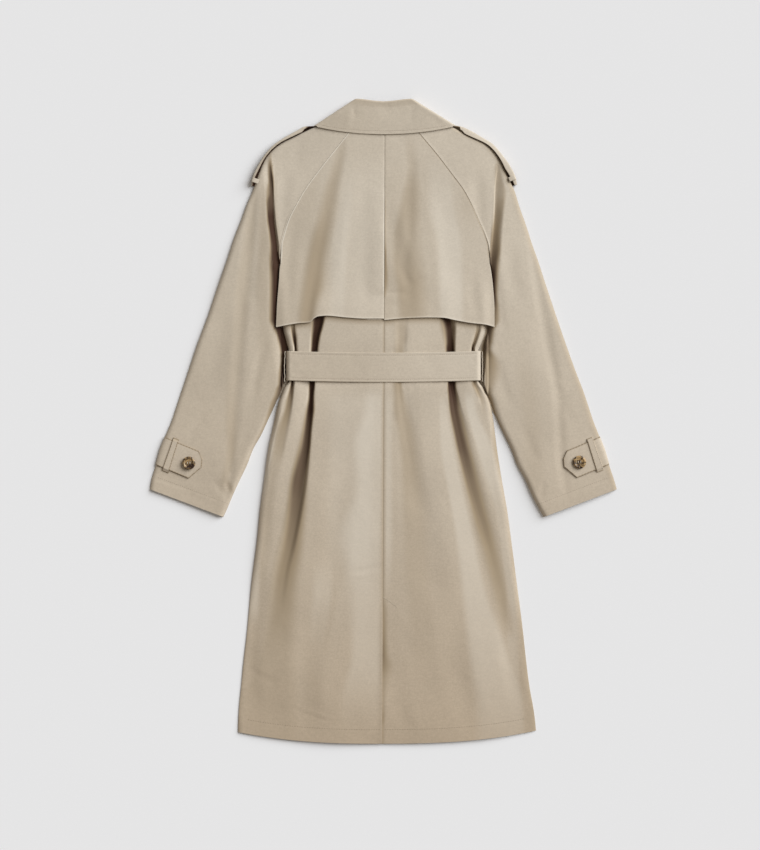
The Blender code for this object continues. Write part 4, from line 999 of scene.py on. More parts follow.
def make_flap(side):
    """Half of the storm flap, sewn into the raglan seam and free at its side and bottom."""
    rows = row_places(FLAP_STOPS, CLOTH_STEP)
    ends = np.array([flap_end(side, y) for y in rows])
    lines = refined([[*FIRST_FLAP_COLUMNS, *(end + shift for shift in LAST_FLAP_COLUMNS)]
                     for end in ends], CLOTH_STEP)
    points, shades = [], []
    for y, out, end in zip(rows, lines, ends):
        x = across(side, out, y)
        z = cover_height(side, out, y)
        z = z - FLAP_CORNER_FALL * step(out, 167, 185) * (1 - step(y, 215, FREE_SLEEVE_Y))
        z = z + creased("flap", x, y)
        depth, width = RAGLAN_GROOVE
        z = z - on_raglan(y) * depth * dip(end - out, width)
        if side == "left":
            rise, *reach = LAP_OVER
            z = z + fading(out, LAP_RISE(y), *reach) * rise
        else:
            fall, *reach = LAP_UNDER
            z = z - fading(out, fall * LAP_RISE(y), *reach)
        seam = FLAP_SEAM_DEPTH * np.maximum(step(y, *FLAP_SEAM_Y), 1 - step(y, *FLAP_LOW_SEAM_Y))
        depth, width = FLAP_SEAM_GROOVE
        z = z - seam * depth * dip(out, width)
        rise, width = FLAP_HEM_EDGE
        z = z + fading(y, rise, FLAP_HEM_Y, FLAP_HEM_Y + width)
        low = fading(y, FLAP_LOW[side](out) - FLAP_HEM_Y, FLAP_HEM_Y, FLAP_HEM_FROM)
        points.append(np.column_stack((x, y + low, z)))
        shades.append(flap_shade(side, out, y, end))
    return cloth(f"flap_{side}", points, CLOTH, shade=np.array(shades))


TAB_X = (-28.0, -3.0)
TAB_Y = (190.0, 171.6)
TAB_LEVEL_Y = 174.0     # below this it lies level
TAB_FALL = 0.1


def make_flap_tab():
    """Small tab under the lower edge of the flap, beside the middle seam."""
    x = np.linspace(*TAB_X, 11)
    points = []
    for y in np.linspace(*TAB_Y, 8):
        z = cover_height("left", -x, max(y, TAB_LEVEL_Y))
        z = z - 0.5 * CLOTH - GAP - 0.5 * LOOP_CLOTH - TAB_FALL
        points.append(np.column_stack((x, np.full(len(x), y), z)))
    return cloth("flap_tab", points, LOOP_CLOTH)


# ---------------------------------------------------------------- sleeves

ARM_FALL = 3.2          # how much lower the outer side of the sleeve lies than the inner
SLEEVE_STOPS = (502, 296, 281, 268, 262, 245, -138, -142, -162)


def sleeve_line(side, y):
    """Inner and outer point of the sleeve outline on the line that starts at inner y."""
    inner = BODY[side](y) if y >= UNDERARM_Y else SLEEVE_IN[side](y)
    return (np.array([float(inner), float(y)]),
            np.array([float(SLEEVE_OUT[side](y)), float(SLEEVE_OUT_Y(y))]))


def crease_position(side, inner, outer):
    """Distance along a line of the sleeve at which it crosses the shoulder crease."""
    share = np.linspace(0.0, 1.0, 201)
    along = inner[None, :] + share[:, None] * (outer - inner)[None, :]
    past = along[:, 0] - CREASE_X[side](along[:, 1])
    return float(np.interp(0.0, past, share)) * float(np.linalg.norm(outer - inner))


# Shadow in the crease beside the shoulder, then beside the flap and the body.
SLEEVE_SHADE = {
    "left": (
        shadow((470, 189, 191, 192, 196, 0), (450, 189, 191, 193, 198, 0.25),
               (430, 187.5, 190.5, 192.5, 198.5, 0.75), (410, 185.5, 188, 192, 198, 0.9),
               (390, 185, 187, 190, 204, 0.9), (370, 185, 187, 195.5, 201.5, 0.92),
               (345, 184.5, 186.5, 195.5, 200, 1), (320, 182, 184, 191.5, 197.5, 1),
               (296, 180, 181, 188.5, 196.5, 1), (268, 174, 175, 188, 198, 1),
               (240, 172, 174, 186, 197.5, 1), (215, 172, 174, 186, 198, 1),
               (172, 170, 172, 186, 199, 1), (160, 168, 171, 182, 192, 1),
               (145, 166, 168, 178, 183.5, 1), (135, 163, 165, 175, 181.5, 1),
               (124, 160, 162, 172.5, 179.5, 1), (105, 160, 163, 170, 178, 1),
               (92, 160, 163, 171.5, 180, 1), (80, 162, 165, 172, 182, 1),
               (64, 169, 171, 174, 182, 0.95), (55, 172, 174, 176, 187, 0.88),
               (45, 176, 178, 179, 190, 0.8), (35, 181, 183, 184, 195, 0.72),
               (20, 187, 189, 191, 199, 0.6), (0, 195, 197, 198.5, 205, 0.45),
               (-40, 214, 216, 218, 223, 0.3), (-90, 236, 239, 240, 246, 0.15)),
    ),
    "right": (
        shadow((470, 190, 193, 195, 199, 0), (445, 191, 194, 196, 201, 0.2),
               (430, 186, 191, 195.5, 201, 0.29), (410, 186, 191, 198, 205, 0.3),
               (390, 185, 191, 204, 210.5, 0.27), (370, 183.5, 193, 202, 208.5, 0.38),
               (345, 182.5, 189.5, 197, 206, 0.44), (320, 180.5, 185, 193, 203.5, 0.54),
               (296, 179.5, 182.5, 193, 203, 0.66), (268, 177, 180, 189, 200, 0.85),
               (240, 176, 178, 187, 198, 1), (215, 176, 178, 188, 196, 1),
               (190, 176, 178, 190, 199.5, 0.7), (172, 174, 177, 190, 201, 0.6),
               (155, 172, 177, 182.5, 191, 0.85), (145, 169, 175, 180, 190, 0.82),
               (135, 166, 173, 179, 188.5, 0.78), (124, 163, 171, 176, 186, 0.8),
               (105, 171, 173, 183, 200, 0.5), (95, 171, 173, 184, 204, 0.48),
               (80, 171, 173, 182, 204, 0.44), (64, 171, 173, 180, 196, 0.4),
               (50, 171, 173, 178, 190, 0.42), (35, 179, 181, 183, 189, 0.45),
               (20, 184, 186, 187, 191, 0.5), (5, 190, 192, 193, 196.5, 0.45),
               (-15, 199, 201, 202, 206, 0.3), (-60, 220, 223, 224, 228, 0.1)),
    ),
}
SLEEVE_SHADE_AT = shade_curves(SLEEVE_SHADE)
# Painted shade: of the long soft fold down the left sleeve, of the short ones above its cuff, and
# broader over each sleeve.
SLEEVE_VALLEY = {
    "left": (
        shadow((420, 203, 212, 215, 230, 0), (390, 205, 216, 220, 237, 0.12),
               (345, 207, 223, 227, 246, 0.16), (296, 209, 226, 231, 252, 0.18),
               (240, 214, 236, 241, 262, 0.18), (190, 217, 239, 244, 268, 0.17),
               (120, 224, 246, 250, 274, 0.14), (60, 234, 254, 258, 278, 0.14),
               (10, 242, 256, 261, 276, 0.2), (-43, 246, 256, 261, 272, 0.24),
               (-75, 252, 260, 265, 276, 0.18), (-101, 258, 268, 272, 282, 0.15),
               (-130, 262, 270, 274, 284, 0)),
        shadow((-84, 262, 266, 268, 276, 0), (-98, 260, 264, 266, 274, 0.16),
               (-112, 254, 259, 261, 270, 0.22), (-122, 250, 255, 257, 264, 0.18),
               (-134, 246, 250, 252, 258, 0)),
        shadow((420, 188, 192, 300, 330, 0), (360, 186, 200, 300, 330, 0.05),
               (240, 190, 200, 300, 330, 0.07), (60, 180, 190, 420, 440, 0.05),
               (-160, 180, 190, 420, 440, 0.02)),
        shadow((430, 178, 186, 204, 222, 0), (380, 178, 186, 204, 224, 0.14),
               (300, 172, 180, 204, 224, 0.2), (220, 170, 180, 206, 228, 0.18),
               (120, 160, 170, 204, 230, 0.12), (20, 180, 190, 214, 240, 0.06),
               (-60, 200, 210, 230, 250, 0)),
    ),
    "right": (
        shadow((130, 214, 226, 230, 250, 0), (40, 222, 244, 250, 272, 0.08),
               (-40, 226, 250, 256, 280, 0.08), (-110, 236, 254, 258, 280, 0.06),
               (-150, 240, 256, 260, 280, 0)),
    ),
}
SLEEVE_VALLEY_AT = shade_curves(SLEEVE_VALLEY)

LEFT_TURN_MORE = 0.7    # how much wider the left inner edge turns down at the waist
LEFT_TURN_Y = (60, 200)
NECK_RISE = 2.5         # of the ground under the sleeve at the neck
NECK_RISE_Y = (488, 499)
MIDDLE_SHARE = 0.35     # across the sleeve, where its height is that of the table
CREASE_BOTTOM = 0.8     # of the shoulder crease, over the layer under it
CREASE_LOW_Y = (250, 272)       # between these it passes into the free inner edge
SHOULDER_FROM = 230     # below this the shoulder side of the crease gets no lower
SMOOTH_CREASE = 0.8     # how much smoother the cloth is in it
# The inner edge's foot, on the ground beside the body, and where the belt keeps it out.
FOOT_END = {"left": 34.0, "right": 6.0}
FOOT_RUN = 22
FOOT_UNDER = 1.0        # how far it goes under the side of the body
FOOT_LAST = 0.12        # share of its width left to its last column
FOOT_POINTS = 5
FOOT_HEIGHT = 0.8
LEAST_FOOT = 0.6
BELT_FOOT = 162.0
BELT_FOOT_Y = (58.0, 134.0)
CREASE_COLUMNS = (-1.6, -0.9, -0.2, 0.5, 1.2, 2.2, 6.0, 11.0, 18.0)
LEAST_TOP = 4.0         # between the last of these and the turned outer edge
SLEEVE_SEAM_EDGE = (0.5, 0.9, 4.0)      # raised along the raglan seam: how much, where, width
CUFF_RISE = 0.35
CUFF_TURN = 12.0
ROLLED_TONE = {"left": 0.0, "right": 0.28}    # of the outer edge, rolled from the light
ROLLED_REACH = (1.0, 11.0)


def crease_share(side, out, y):
    """1 in the dark bottom of the crease beside the shoulder, 0 away from it."""
    return shaded(SLEEVE_SHADE_AT[side], out, y)


def sleeve_height(side, out, y, line_y, from_inner, from_outer):
    """Height of the top of the sleeve at a point of the line that starts at inner line_y."""
    ground = shoulder_lift(y) + EDGE_FLOOR + NECK_RISE * step(y, *NECK_RISE_Y)
    line, width, depth = ARM_FOLD[side]
    reach = from_inner / np.maximum(from_inner + from_outer, 1.0)
    arm = ARM["height"](y) - ARM_FALL * (reach - MIDDLE_SHARE)
    arm = arm - depth(y) * dip(out - line(y), width(y))
    valley = shoulder_lift(y) + LAYER + CREASE_BOTTOM
    valley = arm + (valley - arm) * CREASE_SHARE(y)
    past = out - CREASE_X[side](y)
    sloped = valley + (arm - valley) * step(past, CREASE_WALL[1], CREASE_SLOPE)
    wider = 1 + LEFT_TURN_MORE * step(line_y, *LEFT_TURN_Y) * (side == "left")
    turned = ground + (arm - ground) * turn(from_inner, wider * ARM["inner_turn"](y))
    low = step(line_y, *CREASE_LOW_Y)
    arm_side = sloped * low + turned * (1 - low)
    shoulder = cover_height(side, out, np.maximum(y, SHOULDER_FROM))
    over = step(past, *CREASE_WALL)
    height = shoulder * (1 - over) + arm_side * over
    edge = turn(from_outer, ARM["outer_turn"](y))
    small = creased("sleeve", SIDES[side] * out, y) * edge
    small = small * (1 - SMOOTH_CREASE * crease_share(side, out, y))
    return ground + (height - ground) * edge + small


def sleeve_points(side, line_y, distances, start, end):
    """Points of the top of the sleeve at distances along one of its lines."""
    inner, outer = sleeve_line(side, line_y)
    length = float(np.linalg.norm(outer - inner))
    along = np.asarray(distances, float)
    flat = inner[None, :] + (along / length)[:, None] * (outer - inner)[None, :]
    z = sleeve_height(side, flat[:, 0], flat[:, 1], line_y, along - start, end - along)
    return np.column_stack((SIDES[side] * flat[:, 0], flat[:, 1], z))


def sleeve_ends(side, line_y):
    """Where the cloth of the top of the sleeve starts and ends along one of its lines."""
    inner, outer = sleeve_line(side, line_y)
    start = 0.5 * GAP if line_y >= UNDERARM_Y else 0.5 * CLOTH
    return start, float(np.linalg.norm(outer - inner)) - 0.5 * CLOTH


def foot_start(side, y):
    """Where the sleeve's inner edge ends below, on the ground beside the body."""
    inner = float(SLEEVE_IN[side](y))
    body = float(BODY[side](y)) - FOOT_UNDER
    body = max(body, BELT_FOOT) if BELT_FOOT_Y[0] < y < BELT_FOOT_Y[1] else body
    free = float(step(y, FOOT_END[side], FOOT_END[side] + FOOT_RUN))
    return inner - max(inner - body, 0.0) * free


def make_sleeve_back(side):
    """Upper half of the raglan sleeve, with the crease beside the shoulder."""
    rows = row_places(SLEEVE_STOPS, CLOTH_STEP)
    lines = []
    for line_y in rows:
        start, end = sleeve_ends(side, line_y)
        inner, outer = sleeve_line(side, line_y)
        crease = crease_position(side, inner, outer)
        radius = float(ARM["outer_turn"](line_y))
        columns = [start, 0.5 * (start + crease)]
        columns += [crease + shift for shift in CREASE_COLUMNS]
        columns = spaced(columns, min(columns[-1], end - radius - LEAST_TOP))
        columns += turned_positions(end, radius)
        columns = spaced(columns, end)
        columns[0] = start
        lines.append(columns)
    points, shades, feet = [], [], []
    rise, place, width = SLEEVE_SEAM_EDGE
    for line_y, along in zip(rows, refined(lines, CLOTH_STEP)):
        start, end = sleeve_ends(side, line_y)
        grid = sleeve_points(side, line_y, along, start, end)
        grid[:, 2] += on_raglan(line_y) * rise * dip(along - start - place, width)
        cuff = CUFF_RISE * (1 - step(line_y, -142, -138))
        grid[:, 2] += cuff * turn(end - along, CUFF_TURN) * turn(along - start, CUFF_TURN)
        foot = np.zeros((FOOT_POINTS, 3))
        first = grid[0]
        reach = LEAST_FOOT
        if line_y < FREE_SLEEVE_Y:
            reach = abs(first[0]) - min(foot_start(side, first[1]), abs(first[0]) - LEAST_FOOT)
        share = np.linspace(1.0, FOOT_LAST, FOOT_POINTS)
        foot[:, 0] = first[0] - SIDES[side] * reach * share
        foot[:, 1] = first[1]
        foot[:, 2] = FOOT_HEIGHT
        grid = np.concatenate((foot, grid))
        feet.append(line_y < FREE_SLEEVE_Y - 6)
        points.append(grid)
        out, up = np.abs(grid[FOOT_POINTS:, 0]), grid[FOOT_POINTS:, 1]
        # Painted shade: in the crease beside the shoulder and beside the body, in the valleys, and
        # on the outer edge rolled from the light.
        shade = crease_share(side, out, up)
        low = crease_share(side, np.abs(grid[:FOOT_POINTS, 0]), grid[:FOOT_POINTS, 1])
        valley = shaded(SLEEVE_VALLEY_AT[side], out, up)
        rolled = fading(end - along, ROLLED_TONE[side], *ROLLED_REACH)
        shades.append(np.concatenate((low, np.maximum(shade, valley + rolled))))
    keep = np.ones((len(rows) - 1, len(points[0]) - 1), bool)
    keep[:, :FOOT_POINTS] = np.array(feet[1:])[:, None]
    return cloth(f"sleeve_back_{side}", points, CLOTH, shade=np.array(shades), keep=keep)


def make_sleeve_front(side):
    """Lower half of the sleeve, flat on the ground under the upper half."""
    points = []
    for line_y in row_places(SLEEVE_STOPS, HIDDEN_STEP):
        inner, outer = sleeve_line(side, line_y)
        length = float(np.linalg.norm(outer - inner))
        start = 0.5 * GAP if line_y >= UNDERARM_Y else FRONT_INSET
        columns = np.linspace(start, length - FRONT_INSET, 22)
        flat = inner + (columns / length)[:, None] * (outer - inner)
        flat = flat + np.array(CUFF_INSET) * (1 - step(line_y, -162, -150))
        z = 0.5 * CLOTH + shoulder_lift(flat[:, 1])
        points.append(np.column_stack((SIDES[side] * flat[:, 0], flat[:, 1], z)))
    return cloth(f"sleeve_front_{side}", points, CLOTH)


# ---------------------------------------------------------------- fronts

FRONT_STOPS = (502, 414, 370, 320, 268, 262, 146, 128, 118, 69, 60, 46, -470, -547)
OVERLAP_COLUMNS = (1.0, 5.0, 9.0)       # where the left front comes down off the right one
FRONT_HEM_RISE = 3.0
FRONT_HEM_FROM = -530


def make_front(side):
    """Front panel, flat on the ground; the left one also lies over the right one."""
    lines, rows = [], row_places(FRONT_STOPS, HIDDEN_STEP)
    for y in rows:
        inset = FRONT_INSET + BELT_CLEARANCE * belt_share(y)
        outer = float(BODY[side](y) - (0.5 * GAP if y >= UNDERARM_Y else inset))
        free = float(-NECK_X(y))
        crossing = -free
        columns = [free]
        if side == "left":
            columns += [crossing + shift for shift in OVERLAP_COLUMNS]
        else:
            columns += [0.5 * crossing, crossing]
        columns += [outer]
        lines.append(spaced(columns, outer, 1.0))
    points = []
    for y, out in zip(rows, refined(lines, HIDDEN_STEP)):
        crossing = float(NECK_X(y))
        z = 0.5 * CLOTH + body_lift(y) + np.zeros_like(out)
        if side == "left":
            z += LAYER * (1 - step(out, crossing + OVERLAP_COLUMNS[0],
                                   crossing + OVERLAP_COLUMNS[-1]))
        rise = hem_lift(out, y) + FRONT_HEM_RISE * (1 - step(y, HEM_Y, FRONT_HEM_FROM))
        points.append(np.column_stack((across(side, out, y), y + rise, z)))
    return cloth(f"front_{side}", points, CLOTH)


# ---------------------------------------------------------------- collar

LEAF = {name: curve(COLLAR_LEAF, name) for name in ("low_y", "top_x", "top_y")}
COLLAR_SIDE_ANGLES = (75, 60, 45, 30, 15, 0, -15, -30, -45, -60, -75, -90)
COLLAR_ROLL_ANGLES = (15, 30, 45, 60, 75, 90, 103, 115)
COLLAR_LEAF_ROWS = 17
COLLAR_LEAF_END = 0.84          # share of the leaf up to which its rows go
COLLAR_FRONT_Z = 0.9
COLLAR_LEAF_Z = (8.0, 11.0)     # between these its turned side becomes the back leaf
COLLAR_CREASED = 0.5            # share of the slow unevenness that it has
COLLAR_SIDE_INSET = 6.0         # from its widest point to the middle of its side
COLLAR_SIDE_RADIUS = 5.3
COLLAR_HALF = (3.5, 112.0)      # first and last of its columns
FRONT_SHARES = (0.25, 0.5, 0.75, 1.0)
# Painted shade on the collar: over all of it, more to its left, on the roll and its turned side.
COLLAR_TONE = 0.05
COLLAR_LEFT_TONE = (0.05, -70, 20)
COLLAR_ROLL_TONE = (0.14, 14.5, 18.0)
COLLAR_TURNED_TONE = 0.2
COLLAR_HEM = (0.25, 45.0, 8.0)  # its raised edge: height, length of the leaf and width
# Where the front leaves lie, which the sides of the collar turn to.
COLLAR_FRONT = table("low_x low_y top_x top_y", (104, 452, 41, 545.5), (74, 438, 38, 544.5),
                     (46, 430, 35, 543.5))


def collar_columns():
    """Columns round the collar: low x and y, top x and y, both heights, way inwards."""
    halves = []
    for corner in COLLAR_CORNER:
        sign = SIDES[corner.side]
        scale = corner.low_x / COLLAR_CORNER[0].low_x
        half = []
        for x in np.linspace(*COLLAR_HALF, 32):
            half.append((sign * x * scale, LEAF["low_y"](x), sign * LEAF["top_x"](x) * scale,
                         LEAF["top_y"](x), COLLAR_LOW_Z, COLLAR_TOP_Z, 0, -COLLAR_ROLL))
        centre_z = 0.5 * (COLLAR_LOW_Z + COLLAR_FRONT_Z)
        for angle in COLLAR_SIDE_ANGLES:
            c, s = math.cos(math.radians(angle)), math.sin(math.radians(angle))
            half.append((sign * (corner.low_x - COLLAR_SIDE_INSET + COLLAR_SIDE_RADIUS * c),
                         corner.low_y - (0 if s >= 0 else 2 * s * s),
                         sign * (corner.top_x - COLLAR_SIDE_INSET + COLLAR_SIDE_RADIUS * c),
                         corner.top_y,
                         centre_z + (COLLAR_LOW_Z - centre_z) * s,
                         0.5 * (COLLAR_TOP_Z + COLLAR_FRONT_Z)
                         + (COLLAR_TOP_Z - COLLAR_FRONT_Z) * 0.5 * s,
                         -sign * c * COLLAR_SIDE_ROLL, -s * COLLAR_SIDE_ROLL))
        for row in COLLAR_FRONT:
            last = half[-1]
            for share in FRONT_SHARES:
                goal = (sign * row.low_x, row.low_y, sign * row.top_x, row.top_y,
                        COLLAR_FRONT_Z, COLLAR_FRONT_Z, 0, COLLAR_ROLL)
                half.append(tuple(a + share * (b - a) for a, b in zip(last, goal)))
        halves.append(half)
    first = COLLAR_LEAF[0]
    centre = (0, first.low_y, 0, first.top_y, COLLAR_LOW_Z, COLLAR_TOP_Z, 0, -COLLAR_ROLL)
    return np.array(halves[0][::-1] + [centre] + halves[1], float)


def make_collar_fall():
    """Collar fall: rolled over at the top, turned round the neck at both sides."""
    columns = collar_columns()
    low = columns[:, (0, 1, 4)]
    top = columns[:, (2, 3, 5)] - np.array([0.0, 0.5 * CLOTH, 0.0])
    leaf = step(columns[:, 4], *COLLAR_LEAF_Z)
    lines = []
    edge, length, width = COLLAR_HEM
    for share in np.linspace(0.0, COLLAR_LEAF_END, COLLAR_LEAF_ROWS):
        line = low + share * (top - low)
        line[:, 2] += leaf * creased("collar", line[:, 0], line[:, 1], COLLAR_CREASED)
        line[:, 2] += leaf * edge * dip(share * length, width)
        lines.append(line)
    roll_share = COLLAR_ROLL_Y / (top[:, 1] - low[:, 1])
    roll_start = top + (low - top) * roll_share[:, None]
    lines.append(roll_start)
    for angle in COLLAR_ROLL_ANGLES:
        c, s = math.cos(math.radians(angle)), math.sin(math.radians(angle))
        line = roll_start.copy()
        line[:, 0] += (top[:, 0] - roll_start[:, 0]) * s + 0.5 * (1 - c) * columns[:, 6]
        line[:, 1] += COLLAR_ROLL_Y * s
        line[:, 2] += 0.5 * (1 - c) * columns[:, 7]
        lines.append(line)
    lines = np.array(lines)[::-1]
    tone = COLLAR_TONE + fading(lines[:, :, 0], *COLLAR_LEFT_TONE)
    most, *reach = COLLAR_ROLL_TONE
    tone = tone + most * step(np.arange(len(lines))[::-1], *reach)[:, None]
    tone = tone + COLLAR_TURNED_TONE * (1 - leaf) * (columns[:, 0] > 0)
    return cloth("collar_fall", lines, CLOTH, shade=tone)


STAND_TOP_Y = 538.0
STAND_LOW_Y = 505.5
STAND_HALF = 47.0       # half its width at STAND_HALF_Y, and how much it narrows upwards
STAND_HALF_Y = 505
STAND_NARROWING = 0.35
STAND_Z = 9.9
STAND_RISE = 0.4
STAND_CURVE = 0.00045


def make_collar_stand():
    """Collar stand, from the neck seam up into the roll of the fall."""
    points = []
    for y in np.linspace(STAND_TOP_Y, STAND_LOW_Y, 9):
        half = STAND_HALF - STAND_NARROWING * (y - STAND_HALF_Y)
        x = np.linspace(-half, half, 22)
        z = STAND_Z + STAND_RISE * (y - STAND_LOW_Y) / (STAND_TOP_Y - STAND_LOW_Y)
        points.append(np.column_stack((x, y - STAND_CURVE * x * x, np.full(len(x), z))))
    return cloth("collar_stand", points, CLOTH)


# ---------------------------------------------------------------- belt and its loops

BELT_TOP_POINTS = 92
BELT_LOW_POINTS = 40
BELT_ROWS = (25, 24, 22.6, 21.4, 20.4, 19.4, 18, 14, 9, 4.5, 0)
BELT_SEAM = 20.4        # from the middle of the belt to the groove beside each edge
BELT_SEAM_GROOVE = (0.30, 3.6)  # its depth and width
BELT_CREASED = 0.35     # share of the slow unevenness that the belt has
BELT_SIDE_FALL = 1.6    # how much lower its ends lie than its middle
BELT_TONE = (0.06, 0.15, -80, 160)      # its painted shade at the left, and how it lightens to the right


def make_belt():
    """Belt: a closed ring round the waist, pressed flat."""
    top, low = BELT_TOP_Z, 0.5 * STRAP_CLOTH
    radius = 0.5 * (top - low)
    end = BELT_HALF_LENGTH - radius
    ring = [(x, top, 1.0) for x in np.linspace(-end, end, BELT_TOP_POINTS)]
    angles = np.radians(np.arange(75, -76, -15))
    ring += [(end + radius * math.cos(a), low + radius + radius * math.sin(a), 0.0)
             for a in angles]
    ring += [(x, low, 0.0) for x in np.linspace(end, -end, BELT_LOW_POINTS)]
    ring += [(-end - radius * math.cos(a), low + radius + radius * math.sin(a), 0.0)
             for a in -angles]
    ring = np.array(ring)
    bow = -BELT_BOW * (1 - (ring[:, 0] / BELT_HALF_LENGTH) ** 2)
    depth, width = BELT_SEAM_GROOVE
    points = []
    for out in (*BELT_ROWS, *(-row for row in BELT_ROWS[-2::-1])):
        y = BELT_MIDDLE_Y + bow + out
        z = ring[:, 1] + ring[:, 2] * creased("belt", ring[:, 0], y, BELT_CREASED)
        z = z - depth * ring[:, 2] * dip(abs(out) - BELT_SEAM, width)
        upper = np.clip((ring[:, 1] - low) / (top - low), 0, 1)
        z = z - upper * BELT_SIDE_FALL * (ring[:, 0] / BELT_HALF_LENGTH) ** 2
        points.append(np.column_stack((ring[:, 0], y, z)))
    points = np.array(points)
    grids["belt"] = upper_side(points[:, :BELT_TOP_POINTS], STRAP_CLOTH)
    most, lighter, *reach = BELT_TONE
    tone = most - lighter * step(points[:, :, 0], *reach)
    return cloth("belt", points, STRAP_CLOTH, closed=True, shade=tone)


LOOP_Y = (119, 67)
LOOP_Z = (2.6, 10.0)
LOOP_WAVE = (0.25, 0.55)        # height of its waves, and turn for each millimetre
LOOP_PULL = (1.3, (68, 76, 108, 118))   # how far, and where, its middle is drawn in


def make_belt_loop(side):
    """Belt loop on the side seam: a strip that stands on edge outside the belt."""
    at = curve(BELT_LOOP, side)
    points = []
    for y in np.linspace(*LOOP_Y, 26):
        x = float(at(y)) + LOOP_WAVE[0] * math.sin(LOOP_WAVE[1] * y)
        x -= LOOP_PULL[0] * between(y, *LOOP_PULL[1])
        points.append([(SIDES[side] * x, y, z) for z in np.linspace(*LOOP_Z, 6)])
    return cloth(f"belt_loop_{side}", points, LOOP_CLOTH)


# ---------------------------------------------------------------- epaulettes


def smooth_path(rows, count):
    """Points along a smooth line through rows of y and x."""
    rows = np.array([(row.x, row.y) for row in rows], float)
    run = np.concatenate(([0], np.cumsum(np.linalg.norm(np.diff(rows, axis=0), axis=1))))
    stops = table("run x y", *((at, *row) for at, row in zip(run, rows)))
    at = np.linspace(0, run[-1], count)
    return np.column_stack((curve(stops, "x")(at), curve(stops, "y")(at)))


COAT_MIDDLE = (0.0, 300.0)


def path_normals(path):
    """Unit vectors across a flat path, towards the middle of the coat."""
    along = np.gradient(path, axis=0)
    along /= np.linalg.norm(along, axis=1)[:, None]
    normal = np.column_stack((along[:, 1], -along[:, 0]))
    inward = np.array(COAT_MIDDLE) - path
    return normal * np.sign(np.sum(normal * inward, axis=1))[:, None]


# The part of the epaulette that shows leans in over the shoulder: the most that it shows
# along its length, how high its two edges stand and the dark gap that it leaves.
EPAULETTE_LEAN = table(
    "share wide high low gap", (0, 0.8, 8.4, 7.4, 0.8), (0.09, 0.8, 9.0, 8.0, 0.8),
    (0.13, 3.0, 9.8, 8.3, 0.8), (0.2, 6.6, 10.6, 8.6, 0.9), (0.34, 6.6, 10.8, 9.0, 1.0),
    (0.6, 6.0, 11.0, 9.6, 1.1), (0.75, 5.0, 10.6, 9.8, 1.5), (0.86, 4.0, 10.0, 9.4, 3.0),
    (0.94, 3.0, 9.0, 8.4, 4.2), (1.0, 2.4, 6.4, 5.6, 4.4))
# The right one shows more and lies closer; the neck end of both is under the collar.
EPAULETTE_MORE = {"left": 0.0, "right": 4.2}
EPAULETTE_CLOSER = {"left": 0.0, "right": 1.1}
EPAULETTE_HIDDEN = {"left": (0.09, 0.13), "right": (0.04, 0.08)}
EPAULETTE_POINTS = 60
EPAULETTE_CLOTH = 1.2
EPAULETTE_GROUND = 0.9
LEAN_ROWS = 5
# The part under the shoulder: how far in it lies, its height and its painted shade.
EPAULETTE_UNDER = table("inward height shade", (-0.2, 0.88, 0.1), (-0.25, 0.7, 0.4),
                        (-0.2, 0.5, 0.7), (0.0, 0.32, 0.9), (1.0, 0.18, 1), (2.4, 0.1, 1),
                        (4.5, 0, 1), (8, 0, 1), (13, 0, 1), (18, 0, 0.5), (24, 0, 0.5))
LEAST_WIDE = 0.8
LEAN_EDGE_TONE = 0.2    # painted shade on its inner edge
SOFTER_TONE = {"left": 1.0, "right": 0.5}       # share of its shadow before its tip
SOFTER_TO = (0.72, 0.9)
EPAULETTE_LOOP_HALF = 3.8
EPAULETTE_LOOP_BACK = 2.0       # how far the loop's middle is from the last bend
EPAULETTE_LOOP = table("stop inward z", (0, 11.5, 10.6), (1, 8.0, 11.0), (2, 4.0, 11.2),
                       (3, 1.2, 10.9), (4, 0.0, 9.4), (5, -0.5, 6.0))


def shoulder_distance(side, path):
    """How far each point of a path lies from the outer edge of the sleeve."""
    lines = np.linspace(500, 250, 400)
    edge = np.column_stack((SIDES[side] * SLEEVE_OUT[side](lines), SLEEVE_OUT_Y(lines)))
    return np.linalg.norm(path[:, None, :] - edge[None, :, :], axis=2).min(axis=1)


def make_epaulette(side):
    """Epaulette: its upper part leans along the shoulder edge, the rest lies under it."""
    path = smooth_path(EPAULETTE[side], EPAULETTE_POINTS) * np.array([SIDES[side], 1.0])
    normal = path_normals(path)
    share = np.linspace(0, 1, len(path))
    lean = {name: curve(EPAULETTE_LEAN, name)(share) for name in ("wide", "high", "low", "gap")}
    hidden = EPAULETTE_HIDDEN[side]
    # Painted shadow: the neck end, under the collar, is dark all over.
    neck = 1 - step(share, *hidden)
    most = np.where(share < hidden[1], lean["wide"], lean["wide"] + EPAULETTE_MORE[side])
    gap = lean["gap"] - EPAULETTE_CLOSER[side]
    wide = np.clip(shoulder_distance(side, path) - gap, LEAST_WIDE, most)
    points, shades = [], []
    for part in np.linspace(1.0, 0.0, LEAN_ROWS):
        flat = path + normal * (wide * part)[:, None]
        points.append(np.column_stack((flat, lean["low"] + (lean["high"] - lean["low"]) * part)))
        shades.append(np.maximum(neck, LEAN_EDGE_TONE * part ** 4))
    for row in EPAULETTE_UNDER:
        z = EPAULETTE_GROUND + (lean["low"] - EPAULETTE_GROUND) * row.height
        points.append(np.column_stack((path + normal * row.inward, z)))
        shades.append(np.maximum(neck, row.shade))
    least = SOFTER_TONE[side]
    shades = np.array(shades) * (least + (1.0 - least) * step(share, *SOFTER_TO))
    return cloth(f"epaulette_{side}", points, EPAULETTE_CLOTH, shade=shades)


